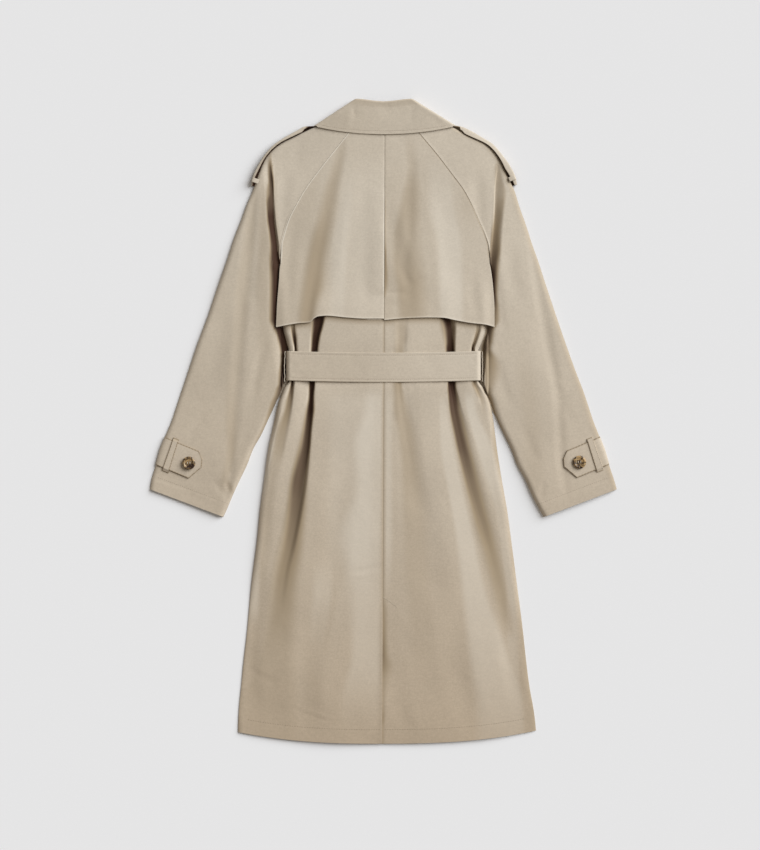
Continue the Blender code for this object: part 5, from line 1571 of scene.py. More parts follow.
def make_epaulette_loop(side):
    """Loop over the tip of the epaulette, sewn to the sleeve."""
    path = np.array([(SIDES[side] * row.x, row.y) for row in EPAULETTE[side]])
    normal = path_normals(path)[-2]
    along = np.array([normal[1], -normal[0]])
    along *= np.sign(along[1])
    inward, height = curve(EPAULETTE_LOOP, "inward"), curve(EPAULETTE_LOOP, "z")
    points = []
    for at in np.linspace(0, EPAULETTE_LOOP[-1].stop, 21):
        centre = path[-2] + normal * float(inward(at))
        z = float(height(at))
        points.append([(*(centre + along * (shift - EPAULETTE_LOOP_BACK)), z)
                       for shift in np.linspace(EPAULETTE_LOOP_HALF, -EPAULETTE_LOOP_HALF, 7)])
    return cloth(f"epaulette_loop_{side}", points, LOOP_CLOTH)


# ---------------------------------------------------------------- sleeve straps

HALVINGS = 22           # of the search for the line of the sleeve through a point
LINE_RANGE = (-162.0, 160.0)
SLOPE_STEP = 0.4
MORE_UP = 1.4           # keeps what lies on the sleeve from leaning out too far


def sleeve_at(side, out, y):
    """Height of the top of the sleeve at places given by distance out and y."""
    out, y = np.broadcast_arrays(np.asarray(out, float), np.asarray(y, float))
    low, high = (np.full(out.shape, line) for line in LINE_RANGE)
    for _ in range(HALVINGS):
        line = 0.5 * (low + high)
        inner = SLEEVE_IN[side](line)
        rise = (SLEEVE_OUT[side](line) - inner) * (y - line)
        rise = rise - (SLEEVE_OUT_Y(line) - line) * (out - inner)
        low, high = np.where(rise > 0, line, low), np.where(rise > 0, high, line)
    run = np.hypot(SLEEVE_OUT[side](line) - inner, SLEEVE_OUT_Y(line) - line)
    along = np.hypot(out - inner, y - line)
    return sleeve_height(side, out, y, line, along - 0.5 * CLOTH, run - 0.5 * CLOTH - along)


def on_sleeve(side, out, y, lift):
    """Points at a height above the sleeve; near its edge they also move outwards a little."""
    z = sleeve_at(side, out, y)
    slope_out = (sleeve_at(side, out - SLOPE_STEP, y) - z) / SLOPE_STEP
    slope_up = (sleeve_at(side, out, y + SLOPE_STEP) - z) / SLOPE_STEP
    way = np.stack((slope_out, -slope_up, np.ones_like(z)), axis=-1)
    way /= np.linalg.norm(way, axis=-1, keepdims=True)
    way[..., 2] += MORE_UP
    way /= np.linalg.norm(way, axis=-1, keepdims=True)
    lift = np.asarray(lift, float)[..., None] * way
    x = SIDES[side] * (out + lift[..., 0])
    return np.stack((x, y + lift[..., 1], z + lift[..., 2]), axis=-1)


LOOP_GAP = 0.1          # between a loop and what it lies on
STRAP_HEIGHT = 0.5 * CLOTH + GAP + 0.5 * STRAP_CLOTH
STRAP_LOOP_HEIGHT = STRAP_HEIGHT + 0.5 * STRAP_CLOTH + LOOP_GAP + 0.5 * LOOP_CLOTH
# Upper outer corner of each strap, the way along it and its outline across that way.
STRAP_CORNER = {"left": (368.5, -27.4), "right": (366.0, -26.5)}
STRAP_WAY = (-0.924, -0.383)
STRAP_WIDE = 49.4
STRAP_SHAPE = table("across length", (0, 59.3), (10.8, 70.4), (23.4, 74.5), (49.4, 61.4))
STRAP_ROWS = (0, 0.8, *np.linspace(2.4, 8.4, 4), *np.linspace(10.8, 23.4, 7),
              *np.linspace(26, 47, 9), STRAP_WIDE - 0.8, STRAP_WIDE)
STRAP_START = (0, 0.8, 2.0, 4.0, 7.0, 11.0)    # closer columns at its outer end
STRAP_MIDDLE = (13.0, -3.0)     # first and last of the even ones, from both its ends
STRAP_LAST = (-1.6, -0.7, 0.0)
SEWN_PITCH = 5.2        # of the puckers beside the sewing of straps and loops
STRAP_PUCKER = 0.28     # how much of the edge tone comes and goes with them
LOOP_PUCKER = 0.34
STRAP_EDGE_TONE = (0.85, 0.3, 2.2)      # painted shade along its edges: most of it, and where it starts and ends
# painted shade along the edges of the strap loops
LOOP_EDGE_TONE = (0.8, 0.2, 1.9)
LOOP_OUTER = {"left": 0.0, "right": 6.0}        # the right one's outer edge has no tone
LOOP_TOP_SHADE = {"left": 0.3, "right": 0.0}         # painted shade on the loop's upper end, which faces the light
LOOP_TOP_SHADE_REACH = (-1.0, 1.5)
LOOP_BEND = (-2.6, 0.4)         # from the strap's edge inwards: where it bends up and over
LOOP_BEND_RISE = 0.4
SLEEVE_EDGE = 0.9       # from the strap's first column to the outer edge of the sleeve
LOOP_END = 5.0          # how far the strap loop reaches past the strap
LOOP_COLUMNS = (0, 0.08, 0.2, 0.5, 0.8, 0.92, 1.0)


def strap_end(over):
    """Length of the strap at a distance over its width; its end is cut in straight lines."""
    return np.interp(over, *zip(*STRAP_SHAPE))


LOOP_PLACE = table("across start end", (-5, 11.0, 21.2), (0, 11.4, 21.6), (49, 14.0, 26.0),
                   (55, 14.4, 26.4))
LOOP_FROM, LOOP_TO = curve(LOOP_PLACE, "start"), curve(LOOP_PLACE, "end")


def strap_place(side, along, over):
    """Distance out and y of a point of the strap, along it and over its width."""
    (x, y), (way_x, way_y) = STRAP_CORNER[side], STRAP_WAY
    return x + way_x * along - way_y * over, y + way_y * along + way_x * over


def make_sleeve_strap(side):
    """Strap across the sleeve with a chamfered end, from the sleeve's outer edge."""
    points, shades = [], []
    for over in STRAP_ROWS:
        first = strap_start(side, over)
        length = float(strap_end(over))
        middle = np.linspace(first + STRAP_MIDDLE[0], length + STRAP_MIDDLE[1], 32)
        along = np.concatenate((first + np.array(STRAP_START), middle,
                                length + np.array(STRAP_LAST)))
        out, y = strap_place(side, along, over)
        points.append(on_sleeve(side, out, y, np.full(len(along), STRAP_HEIGHT)))
        inside = np.minimum(length - along, min(over, STRAP_WIDE - over))
        sewn = 1 - STRAP_PUCKER
        sewn = sewn + STRAP_PUCKER * np.sin(2 * math.pi * (along + over) / SEWN_PITCH)
        most, *reach = STRAP_EDGE_TONE
        shades.append(fading(inside, most * sewn, *reach))
    return cloth(f"sleeve_strap_{side}", points, STRAP_CLOTH, shade=np.array(shades))


def strap_start(side, over):
    """Where a line along the strap meets the outer edge of the sleeve."""
    along = np.linspace(-14.0, 20.0, 340)
    out, y = strap_place(side, along, over)
    lines = np.linspace(-162, 60, 600)
    edge_y, edge_out = SLEEVE_OUT_Y(lines), SLEEVE_OUT[side](lines)
    inside = np.interp(y, edge_y, edge_out) - out
    return float(np.interp(SLEEVE_EDGE, inside, along))


def make_strap_loop(side):
    """Loop that holds the strap, lying across it."""
    rest = 0.5 * CLOTH + LOOP_GAP + 0.5 * LOOP_CLOTH
    top, wide = STRAP_LOOP_HEIGHT, STRAP_WIDE
    (up, over), bend = LOOP_BEND, rest + LOOP_BEND_RISE
    height = curve(table("over height", (-LOOP_END, rest), (up, bend), (over, top),
                         (0.5 * wide, top), (wide - over, top), (wide - up, bend),
                         (wide + LOOP_END, rest)), "height")
    rows, shades = [], []
    for over in np.concatenate((np.linspace(-LOOP_END, 2, 9), np.linspace(3.5, wide - 3.5, 29),
                                np.linspace(wide - 2, wide + LOOP_END, 9))):
        first, last = float(LOOP_FROM(over)), float(LOOP_TO(over))
        along = first + (last - first) * np.array(LOOP_COLUMNS)
        out, y = strap_place(side, along, over)
        rows.append(on_sleeve(side, out, y, np.full(len(along), float(height(over)))))
        outer = along - first + LOOP_OUTER[side]
        inside = np.minimum(np.minimum(outer, last - along),
                            min(over + LOOP_END, wide + LOOP_END - over))
        sewn = 1 - LOOP_PUCKER + LOOP_PUCKER * math.sin(2 * math.pi * over / SEWN_PITCH)
        upper_end_shade = fading(over, LOOP_TOP_SHADE[side], *LOOP_TOP_SHADE_REACH)
        most, *reach = LOOP_EDGE_TONE
        shades.append(np.maximum(fading(inside, most * sewn, *reach), upper_end_shade))
    return cloth(f"strap_loop_{side}", rows, LOOP_CLOTH, shade=np.array(shades))


# ---------------------------------------------------------------- buttons

BUTTON_RADIUS = 10.0
BUTTON_DEPTH = 2.4
# From the edge of its face inwards: the width of each ring, and how far what is inside it
# is raised.
BUTTON_RINGS = ((0.4, 0.5), (1.5, 0.0), (0.7, -0.55), (0.8, -0.45), (3.0, -0.12))
BUTTON_ROUNDING = 0.35
BUTTON_BELLY_Z = 1.7
BUTTON_BELLY = 1.13     # how much wider the button is halfway up its side


def make_button(side):
    """Four-hole button: a dished disc with a raised round rim."""
    x, y = STRAP_BUTTON[side]
    select_none()
    bpy.ops.mesh.primitive_cylinder_add(
        vertices=64, radius=BUTTON_RADIUS * MM, depth=BUTTON_DEPTH * MM,
        location=(x * MM, y * MM, (BUTTON_Z + 0.5 * BUTTON_DEPTH) * MM))
    button = bpy.context.active_object
    bpy.ops.object.transform_apply(location=True, rotation=True, scale=True)
    bpy.ops.object.mode_set(mode="EDIT")
    face_up(button)
    for width, rise in BUTTON_RINGS:
        bpy.ops.mesh.inset(thickness=width * MM)
        bpy.ops.transform.translate(value=(0, 0, rise * MM))
    bpy.ops.object.mode_set(mode="OBJECT")
    widest_ring(button, x, y)
    modify(button, "BEVEL", width=BUTTON_ROUNDING * MM, segments=3, limit_method="ANGLE",
           angle_limit=math.radians(20))
    for i in range(4):
        angle = math.radians(45 + 90 * i)
        select_none()
        bpy.ops.mesh.primitive_cylinder_add(
            vertices=20, radius=HOLE_RADIUS * MM, depth=12 * MM,
            location=((x + HOLE_OFFSET * math.cos(angle)) * MM,
                      (y + HOLE_OFFSET * math.sin(angle)) * MM, BUTTON_Z * MM))
        drill = bpy.context.active_object
        modify(button, "BOOLEAN", object=drill)
        bpy.data.objects.remove(drill)
    select_only(button)
    bpy.ops.object.shade_smooth_by_angle(angle=math.radians(35))
    return keep_piece(f"button_{side}", button, FINISH["button_horn"])


def face_up(piece):
    """Select the one face that looks straight up, in edit mode."""
    bpy.ops.mesh.select_mode(type="FACE")
    bpy.ops.mesh.select_all(action="DESELECT")
    build = bmesh.from_edit_mesh(piece.data)
    top = max(face.calc_center_median().z for face in build.faces)
    for face in build.faces:
        face.select_set(face.calc_center_median().z > top - 1e-6 and face.normal.z > 0.99)
    bmesh.update_edit_mesh(piece.data)


def widest_ring(piece, x, y):
    """Push out the middle of the button's side, so that its edge is round."""
    select_only(piece)
    bpy.ops.object.mode_set(mode="EDIT")
    bpy.ops.mesh.select_all(action="SELECT")
    belly_z = (BUTTON_Z + BUTTON_BELLY_Z) * MM
    bpy.ops.mesh.bisect(plane_co=(x * MM, y * MM, belly_z), plane_no=(0, 0, 1))
    build = bmesh.from_edit_mesh(piece.data)
    for vertex in build.verts:
        vertex.select_set(abs(vertex.co.z - belly_z) < 1e-5)
    bmesh.update_edit_mesh(piece.data)
    bpy.ops.transform.resize(value=(BUTTON_BELLY, BUTTON_BELLY, 1.0),
                             center_override=(x * MM, y * MM, BUTTON_Z * MM))
    bpy.ops.object.mode_set(mode="OBJECT")


# ---------------------------------------------------------------- sewing

# Each kind of stitching: what is left free at both ends, the pitch, the radius of the
# thread and the share of the pitch that it covers.
STITCHING = {
    "hem": ((3, 14), 4.2, 0.22, 0.6),
    "cuff": ((4, 10), 3.6, 0.18, 0.5),
    "strap": ((1.2, 1.2), 2.6, 0.2, 0.6),
    "loop_end": ((1.0, 1.0), 3.4, 0.25, 0.6),
    "loop_side": ((1.0, 1.0), 2.4, 0.2, 0.6),
    "vent": ((0.5, 0.5), 2.6, 0.3, 0.9),
    "belt": ((3, 3), 3.2, 0.18, 0.72),
    "collar": ((6, 6), 3.2, 0.15, 0.72),
}
# One stitch: places along it, and how high over the cloth its middle line is there.
STITCH_SHARE = (0.0, 0.22, 0.78, 1.0)
STITCH_HEIGHT = (-0.22, 0.16, 0.16, -0.22)
STITCH_SIDES = 6
# How far from the edge each seam is sewn.
HEM_STITCH = 24.0
STRAP_STITCH = 1.0
LOOP_END_STITCH = 0.8
BELT_STITCH = 4.6
COLLAR_STITCH = 6.0
LEAF_UP = 0.8           # least upward part of the cloth's way up on the back leaf
VENT_STITCH_LINE = ((-1.5, -297.5), (12.0, -306.0), (26.0, -317.5))
# Thread through the buttons: its strands side by side, and its line over the button.
STRANDS = (-0.36, 0.0, 0.36)
STRAND_RADIUS = 0.22
STRAND_SIDES = 8
STRAND_Z = 2.05
STRAND_BOW = 0.75
STRAND_SUNK = 0.9       # at both ends, in the holes
STRAND_CLOSING = 0.25   # how much closer together the strands are there
STRAND_REACH = 0.15     # past the middle of each hole


def distance_along(line):
    """How far each point of a line is from its start."""
    steps = np.linalg.norm(np.diff(line[:, :3], axis=0), axis=1)
    return np.concatenate(([0], np.cumsum(steps)))


def line_beside(name, edge, distance, skip=0):
    """Line on a sheet at a distance inside one of its edges, with the way up at each point."""
    grid = grids[name][:, skip:]
    lines = {"down": grid[::-1].transpose(1, 0, 2), "up": grid.transpose(1, 0, 2),
             "in": grid, "out": grid[:, ::-1]}[edge]
    out = []
    for line in lines:
        run = distance_along(line)
        out.append([np.interp(distance, run, line[:, k]) for k in range(6)])
    return np.array(out)


def stitches(line, kind):
    """Closed thread shapes along a line, each sunk into the cloth at its ends."""
    trim, pitch, radius, stretch = STITCHING[kind]
    run = distance_along(line)
    count = int((run[-1] - sum(trim)) / pitch)
    shapes = []
    for i in range(max(count, 0)):
        start = trim[0] + (i + 0.5 * (1 - stretch)) * pitch
        at = start + np.array(STITCH_SHARE) * stretch * pitch
        row = np.column_stack([np.interp(at, run, line[:, k]) for k in range(6)])
        centre = row[:, :3] + row[:, 3:] * np.array(STITCH_HEIGHT)[:, None]
        along = centre[-1] - centre[0]
        along /= np.linalg.norm(along)
        up = row[:, 3:]
        across_thread = np.cross(along, up)
        rings = []
        for c, u, a in zip(centre, up, across_thread):
            rings.append([c + radius * (math.cos(t) * a + math.sin(t) * u)
                          for t in np.arange(STITCH_SIDES) * 2 * math.pi / STITCH_SIDES])
        shapes.append(rings)
    return shapes


def sew(name, shapes, finish="thread"):
    """One mesh of all the stitches of a seam."""
    vertices, faces = [], []
    for rings in shapes:
        base = len(vertices)
        sides = len(rings[0])
        for ring in rings:
            vertices += [tuple(np.asarray(p) * MM) for p in ring]
        for r in range(len(rings) - 1):
            for i in range(sides):
                j = (i + 1) % sides
                faces.append((base + r * sides + i, base + r * sides + j,
                              base + (r + 1) * sides + j, base + (r + 1) * sides + i))
        faces.append(tuple(base + i for i in reversed(range(sides))))
        faces.append(tuple(base + (len(rings) - 1) * sides + i for i in range(sides)))
    data = bpy.data.meshes.new(name)
    data.from_pydata(vertices, [], faces)
    build = bmesh.new()
    build.from_mesh(data)
    bmesh.ops.recalc_face_normals(build, faces=build.faces)
    build.to_mesh(data)
    build.free()
    data.shade_smooth()
    return keep_piece(name, add_object(name, data), FINISH[finish])


def edge_stitches(name, edges, distance, kind, skip=0):
    """Stitches inside one or more edges of a sheet."""
    shapes = []
    for edge in edges:
        shapes += stitches(line_beside(name, edge, distance, skip), kind)
    return shapes


def make_sewing():
    """All the stitching that shows on the coat."""
    for side in SIDES:
        skip = UNDERLAP_POINTS if side == "right" else 0
        sew(f"hem_stitching_{side}",
            edge_stitches(f"back_{side}", ["down"], HEM_STITCH, "hem", skip), "dark_thread")
        sew(f"cuff_stitching_{side}",
            edge_stitches(f"sleeve_back_{side}", ["down"], HEM_STITCH, "cuff"), "dark_thread")
        sew(f"strap_stitching_{side}",
            edge_stitches(f"sleeve_strap_{side}", ("up", "out", "down"), STRAP_STITCH, "strap"))
        loop = f"strap_loop_{side}"
        sew(f"strap_loop_stitching_{side}",
            edge_stitches(loop, ("in", "out"), LOOP_END_STITCH, "loop_end")
            + edge_stitches(loop, ("up", "down"), STRAP_STITCH, "loop_side"),
            "dark_thread" if side == "left" else "thread")
    sew("vent_stitching", stitches(on_back("right", np.array(VENT_STITCH_LINE)), "vent"),
        "button_thread")
    sew("belt_stitching", edge_stitches("belt", ("up", "down"), BELT_STITCH, "belt"))
    collar = line_beside("collar_fall", "down", COLLAR_STITCH)
    back_leaf = collar[:, 5] > LEAF_UP
    sew("collar_stitching", stitches(collar[back_leaf], "collar"))


def on_back(side, line):
    """Points of a line on the top of a back panel, with the way up."""
    grid = grids[f"back_{side}"].reshape(-1, 6)
    steps = []
    for a, b in zip(line[:-1], line[1:]):
        steps += [a + t * (b - a) for t in np.linspace(0, 1, 12, endpoint=False)]
    steps.append(line[-1])
    out = []
    for x, y in steps:
        gap = (grid[:, 0] - x) ** 2 + (grid[:, 1] - y) ** 2
        near = np.argsort(gap)[:6]
        weight = 1.0 / (gap[near] + 0.2)
        mean = (grid[near] * weight[:, None]).sum(axis=0) / weight.sum()
        out.append((x, y, mean[2], *mean[3:]))
    return np.array(out)


def make_button_thread(side):
    """Thread through the four holes, in two bars of three strands."""
    x, y = STRAP_BUTTON[side]
    shapes = []
    reach = HOLE_OFFSET * math.cos(math.radians(45))
    for bar in (-1, 1):
        for strand in STRANDS:
            line = []
            for share in np.linspace(-1, 1, 9):
                z = BUTTON_Z + STRAND_Z + STRAND_BOW * (1 - share ** 2)
                z -= STRAND_SUNK if abs(share) == 1 else 0
                line.append((x + bar * reach + strand * (1 - STRAND_CLOSING * share ** 2),
                             y + share * (reach + STRAND_REACH), z))
            line = np.array(line)
            rings = []
            for c in line:
                rings.append([c + STRAND_RADIUS * np.array((math.cos(t), 0.0, math.sin(t)))
                              for t in np.arange(STRAND_SIDES) * math.pi / 4])
            shapes.append(rings)
    return sew(f"button_thread_{side}", shapes, "button_thread")


# ---------------------------------------------------------------- finishes


class Socket:
    """Output of a shader node, with the sums that a finish is worked out from."""

    def __init__(self, tree, output):
        self.tree, self.output = tree, output

    def worked(self, operation, *others):
        """Result of an operation on this output and others."""
        node = self.tree.nodes.new("ShaderNodeMath")
        node.operation = operation
        for entry, value in zip(node.inputs, (self, *others)):
            if isinstance(value, Socket):
                self.tree.links.new(value.output, entry)
            else:
                entry.default_value = value
        return Socket(self.tree, node.outputs[0])

    def __add__(self, other):
        return self.worked("ADD", other)

    def __sub__(self, other):
        return self.worked("SUBTRACT", other)

    def __mul__(self, other):
        return self.worked("MULTIPLY", other)

    def sine(self):
        return self.worked("SINE")

    def power(self, other):
        return self.worked("POWER", other)

    def between(self, low, high):
        """0 at low, 1 at high, held to that range."""
        node = self.tree.nodes.new("ShaderNodeMapRange")
        self.tree.links.new(self.output, node.inputs["Value"])
        node.inputs["From Min"].default_value = low
        node.inputs["From Max"].default_value = high
        return Socket(self.tree, node.outputs[0])


class Finish:
    """A material and its nodes."""

    def __init__(self, name, **constants):
        self.material = bpy.data.materials.new(name)
        self.material.use_nodes = True
        self.tree = self.material.node_tree
        self.shader = self.tree.nodes["Principled BSDF"]
        for entry, value in constants.items():
            self.shader.inputs[entry.replace("_", " ")].default_value = value

    def node(self, kind, output=0, settings=(), **entries):
        """Any other node: its settings, its inputs by name, and one of its outputs."""
        node = self.tree.nodes.new(kind)
        for name, value in dict(settings).items():
            setattr(node, name, value)
        for name, value in entries.items():
            entry = node.inputs[int(name[1:])] if name[1:].isdigit() else node.inputs[
                name.replace("_", " ")]
            if isinstance(value, Socket):
                self.tree.links.new(value.output, entry)
            else:
                entry.default_value = value
        return Socket(self.tree, node.outputs[output])

    def noise(self, place, scale, detail, **more):
        """Clouds of a scale at a place."""
        return self.node("ShaderNodeTexNoise", 0, {}, Vector=place, Scale=scale, Detail=detail,
                         **more)

    def mix(self, share, low, high, blend="MIX"):
        """Colour between two others."""
        return self.node("ShaderNodeMix", 2, {"data_type": "RGBA", "blend_type": blend},
                         i0=share, i6=low, i7=high)

    def feed(self, entry, socket):
        """Join an output to an entry of the shader."""
        self.tree.links.new(socket.output, self.shader.inputs[entry])

    def relief(self, height, strength, distance, under=None):
        """Bump from a height, on top of another bump."""
        more = {} if under is None else {"Normal": under}
        return self.node("ShaderNodeBump", 0, {}, Height=height, Strength=strength,
                         Distance=distance, **more)


RIB_PITCH = 0.00095     # in metres
PICK_PITCH = 0.00062


def gabardine():
    """Beige cotton gabardine: a fine steep twill with a slight mottle."""
    finish = Finish("coat_cloth", Roughness=0.82, Sheen_Weight=0.12, Sheen_Roughness=0.45,
                    Specular_IOR_Level=0.28)
    place = finish.node("ShaderNodeTexCoord", 3)
    weave = finish.node("ShaderNodeUVMap", 0, {"uv_map": "weave"})
    over = finish.node("ShaderNodeSeparateXYZ", 0, {}, Vector=weave)
    down = Socket(finish.tree, over.output.node.outputs[1])
    along = finish.node("ShaderNodeSeparateXYZ", 1, {}, Vector=place)
    ribs = ((over * 1.0 + down * 0.55) * (2 * math.pi / RIB_PITCH)).sine() * 0.5 + 0.5
    picks = (down * (2 * math.pi / PICK_PITCH)).sine() * 0.5 + 0.5
    fibres = finish.noise(place, 1500.0, 2.0)
    mottle = finish.noise(place, 260.0, 3.0, Roughness=0.62)
    cloud = finish.noise(place, 9.0, 3.0)
    yarn = finish.node("ShaderNodeMapping", 0, {}, Vector=weave, Scale=(38.0, 900.0, 1.0))
    slub = finish.noise(yarn, 1.0, 2.0)
    low = finish.mix(along.between(-0.55, 0.30).power(0.9), (*HEM_COLOUR, 1), (*CLOTH_COLOUR, 1))
    grain = finish.noise(place, 620.0, 2.0)
    tone = mottle.between(0.3, 0.7) * 0.115 + slub.between(0.3, 0.7) * 0.05
    tone = tone + cloud.between(0.3, 0.7) * 0.075 + fibres.between(0.25, 0.75) * 0.07
    tone = tone + grain.between(0.3, 0.7) * 0.085 + ribs * 0.025 + 0.795
    toned = finish.mix(1.0, low, finish.node("ShaderNodeCombineColor", 0, {}, Red=tone,
                                             Green=tone, Blue=tone), "MULTIPLY")
    shade = finish.node("ShaderNodeAttribute", 2, {"attribute_name": "shade"})
    # Painted light: where the shade attribute is below 0 the cloth is lightened.
    pressed = finish.mix((shade * -1.0).between(0.0, 1.0), toned, (*PAINTED_LIGHT_COLOUR, 1))
    # Painted shade: up to 0.5 the cloth darkens towards the shade of soft folds, beyond that
    # towards the shadow in deep folds.
    soft = finish.mix(shade.between(0.0, 0.5), pressed, (*SOFT_SHADE_COLOUR, 1))
    finish.feed("Base Color", finish.mix(shade.between(0.5, 1.0), soft, (*FOLD_SHADOW_COLOUR, 1)))
    finish.feed("Roughness", mottle.between(0.2, 0.8) * 0.1 + 0.77)
    fine = finish.relief(ribs * 0.7 + picks * 0.3 + fibres * 0.5, 0.35, 0.00012)
    rumple = finish.noise(place, 34.0, 2.0)
    finish.feed("Normal", finish.relief(rumple, 0.35, 0.0016, fine))
    return finish.material


def horn():
    """Polished brown horn-look resin with darker and amber clouds."""
    finish = Finish("button_horn", Roughness=0.38, Specular_IOR_Level=0.35, Coat_Weight=0.12,
                    Coat_Roughness=0.3)
    place = finish.node("ShaderNodeTexCoord", 3)
    cloud = finish.noise(place, 120.0, 3.0, Distortion=1.2)
    streak = finish.node("ShaderNodeMapping", 0, {}, Vector=place, Scale=(420.0, 90.0, 200.0),
                         Rotation=(0.0, 0.0, 0.7))
    fine = finish.noise(streak, 1.0, 3.0)
    base = finish.mix(cloud.between(0.42, 0.60), (*HORN_DARK, 1), (*HORN_AMBER, 1))
    finish.feed("Base Color", finish.mix(fine.between(0.54, 0.74), base, (*HORN_PALE, 1)))
    finish.feed("Roughness", fine * 0.1 + 0.34)
    return finish.material


def thread(name, colour):
    """Twisted sewing thread."""
    finish = Finish(name, Roughness=0.7, Sheen_Weight=0.2, Specular_IOR_Level=0.3)
    place = finish.node("ShaderNodeTexCoord", 3)
    ply = finish.noise(place, 2400.0, 1.0)
    dark = tuple(0.7 * c for c in colour)
    finish.feed("Base Color", finish.mix(ply.between(0.35, 0.65), (*dark, 1), (*colour, 1)))
    finish.feed("Normal", finish.relief(ply, 0.4, 0.0001))
    return finish.material


def plain_floor():
    """Smooth pale floor with a slight grain."""
    finish = Finish("studio_floor", Roughness=0.9, Specular_IOR_Level=0.1)
    place = finish.node("ShaderNodeTexCoord", 3)
    grain = finish.noise(place, 420.0, 2.0)
    duller = tuple(c * FLOOR_GRAIN for c in FLOOR_COLOUR)
    finish.feed("Base Color", finish.mix(grain.between(0.3, 0.7), (*duller, 1),
                                         (*FLOOR_COLOUR, 1)))
    return finish.material


CLOTH_COLOUR = (0.572, 0.500, 0.405)
HEM_COLOUR = (0.440, 0.350, 0.252)
# painted shade of soft folds and valleys
SOFT_SHADE_COLOUR = (0.335, 0.258, 0.168)
PAINTED_LIGHT_COLOUR = (0.86, 0.80, 0.70)     # painted light, where the shade attribute is below 0: seam edges and smooth parts that catch the light
# painted shadow in deep gathers, creases and gaps
FOLD_SHADOW_COLOUR = (0.048, 0.020, 0.009)
THREAD_COLOUR = (0.40, 0.325, 0.245)
DARK_THREAD_COLOUR = (0.20, 0.145, 0.095)
LIGHT_THREAD_COLOUR = (0.62, 0.54, 0.43)
HORN_DARK = (0.030, 0.014, 0.008)
HORN_AMBER = (0.42, 0.27, 0.12)
HORN_PALE = (0.50, 0.37, 0.20)
FLOOR_COLOUR = (0.832, 0.830, 0.839)
FLOOR_GRAIN = 0.985     # how much darker its grain is

FINISH = {
    "coat_cloth": gabardine(),
    "button_horn": horn(),
    "thread": thread("sewing_thread", THREAD_COLOUR),
    "dark_thread": thread("dark_sewing_thread", DARK_THREAD_COLOUR),
    "button_thread": thread("light_sewing_thread", LIGHT_THREAD_COLOUR),
}


# ---------------------------------------------------------------- camera, light and floor

CAMERA_PLACE = (-0.006, -0.006, 3.412)    # in metres, looking straight down
CAMERA_LENS = 85.0
CAMERA_SENSOR = 36.0
FLOOR_SIZE = 14.0
FLOOR_Z = -0.0002
KEY_WAY = (0.66, 0.44, 0.50)     # towards the lamp
SUN_POWER = 4.02
SUN_ANGLE = 46.0
LAMP_COLOUR = (0.955, 0.985, 1.015)
FILL_POWER = 0.30
FILL_COLOUR = (1.0, 0.93, 0.84, 1)


def studio():
    """Camera, floor, one soft lamp and an even fill from the sky."""
    camera = add_object("camera", bpy.data.cameras.new("camera"))
    camera.location = CAMERA_PLACE
    camera.data.lens = CAMERA_LENS
    camera.data.sensor_width = CAMERA_SENSOR
    bpy.context.scene.camera = camera
    select_none()
    bpy.ops.mesh.primitive_plane_add(size=FLOOR_SIZE, location=(0, 0, FLOOR_Z))
    floor = bpy.context.active_object
    bpy.ops.object.transform_apply(location=True, rotation=True, scale=True)
    floor.name = "studio_floor"
    floor.data.materials.append(plain_floor())
    lamp = bpy.data.lights.new("key", "SUN")
    lamp.energy, lamp.angle = SUN_POWER, math.radians(SUN_ANGLE)
    lamp.color = LAMP_COLOUR
    key = add_object("key", lamp)
    key.rotation_euler = Vector(KEY_WAY).to_track_quat("Z", "Y").to_euler()
    world = bpy.data.worlds.new("studio")
    bpy.context.scene.world = world
    world.use_nodes = True
    sky = world.node_tree.nodes["Background"]
    sky.inputs["Color"].default_value = FILL_COLOUR
    sky.inputs["Strength"].default_value = FILL_POWER
    bpy.context.scene.view_settings.view_transform = "Standard"


# ---------------------------------------------------------------- the coat

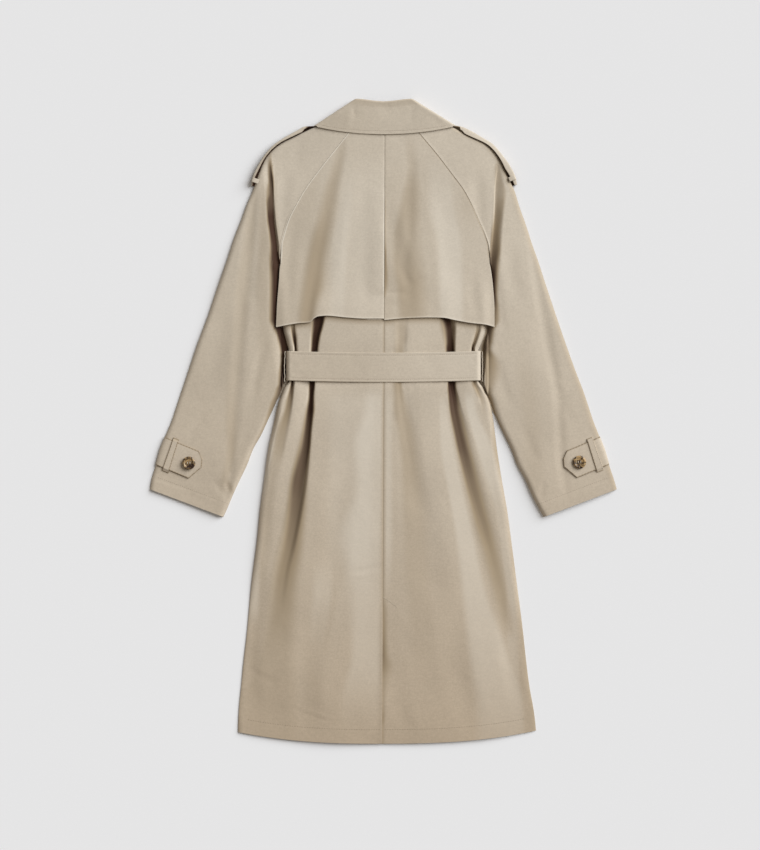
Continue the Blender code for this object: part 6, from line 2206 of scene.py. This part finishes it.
# The cut of each piece of cloth as it shows: width, length and area of the flat piece in
# metres, how it lies and what it lies on.
CUTS = table("name width length area held rests_on",
             ("back_left", 0.268, 1.056, 0.2010, "gathered", ["front_left"]),
             ("back_right", 0.306, 1.056, 0.2125, "gathered", ["front_right"]),
             ("flap_left", 0.190, 0.346, 0.0485, "laid", ["back_left"]),
             ("flap_right", 0.192, 0.346, 0.0485, "laid", ["back_right"]),
             ("flap_tab", 0.027, 0.020, 0.0005, "laid", ["back_left"]),
             ("sleeve_back_left", 0.165, 0.760, 0.0850, "laid", ["sleeve_front_left"]),
             ("sleeve_back_right", 0.165, 0.760, 0.0832, "laid", ["sleeve_front_right"]),
             ("sleeve_front_left", 0.155, 0.760, 0.0765, "laid", []),
             ("sleeve_front_right", 0.155, 0.760, 0.0738, "laid", []),
             ("front_left", 0.330, 1.056, 0.2610, "laid", []),
             ("front_right", 0.345, 1.056, 0.2635, "laid", ["front_left"]),
             ("collar_fall", 0.262, 0.126, 0.0243, "folded", ["flap_left", "flap_right"]),
             ("collar_stand", 0.096, 0.034, 0.0028, "laid", ["front_left", "front_right"]),
             ("belt", 0.106, 0.332, 0.0340, "folded", ["back_left", "back_right"]),
             ("belt_loop_left", 0.010, 0.054, 0.0004, "laid", ["belt"]),
             ("belt_loop_right", 0.010, 0.054, 0.0004, "laid", ["belt"]),
             ("epaulette_left", 0.037, 0.160, 0.0052, "laid", ["sleeve_back_left"]),
             ("epaulette_right", 0.040, 0.160, 0.0053, "laid", ["sleeve_back_right"]),
             ("epaulette_loop_left", 0.010, 0.016, 0.00012, "laid", ["epaulette_left"]),
             ("epaulette_loop_right", 0.010, 0.016, 0.00012, "laid", ["epaulette_right"]),
             ("sleeve_strap_left", 0.050, 0.078, 0.0037, "laid", ["sleeve_back_left"]),
             ("sleeve_strap_right", 0.050, 0.078, 0.0036, "laid", ["sleeve_back_right"]),
             ("strap_loop_left", 0.013, 0.062, 0.00068, "laid", ["sleeve_strap_left"]),
             ("strap_loop_right", 0.013, 0.062, 0.00068, "laid", ["sleeve_strap_right"]))

BUTTON_NODES = {f"button_{side}": f"strap_button_{side}" for side in SIDES}

studio()
for side in SIDES:
    for make in (make_back, make_flap, make_sleeve_back, make_sleeve_front, make_front,
                 make_belt_loop, make_epaulette, make_epaulette_loop, make_sleeve_strap,
                 make_strap_loop):
        make(side)
make_flap_tab()
make_collar_fall()
make_collar_stand()
make_belt()
for side in SIDES:
    make_button(side)
    make_button_thread(side)
make_sewing()

for name, piece in made.items():
    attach(piece, "root")
    node = BUTTON_NODES.get(name, name)
    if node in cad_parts:
        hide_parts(node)
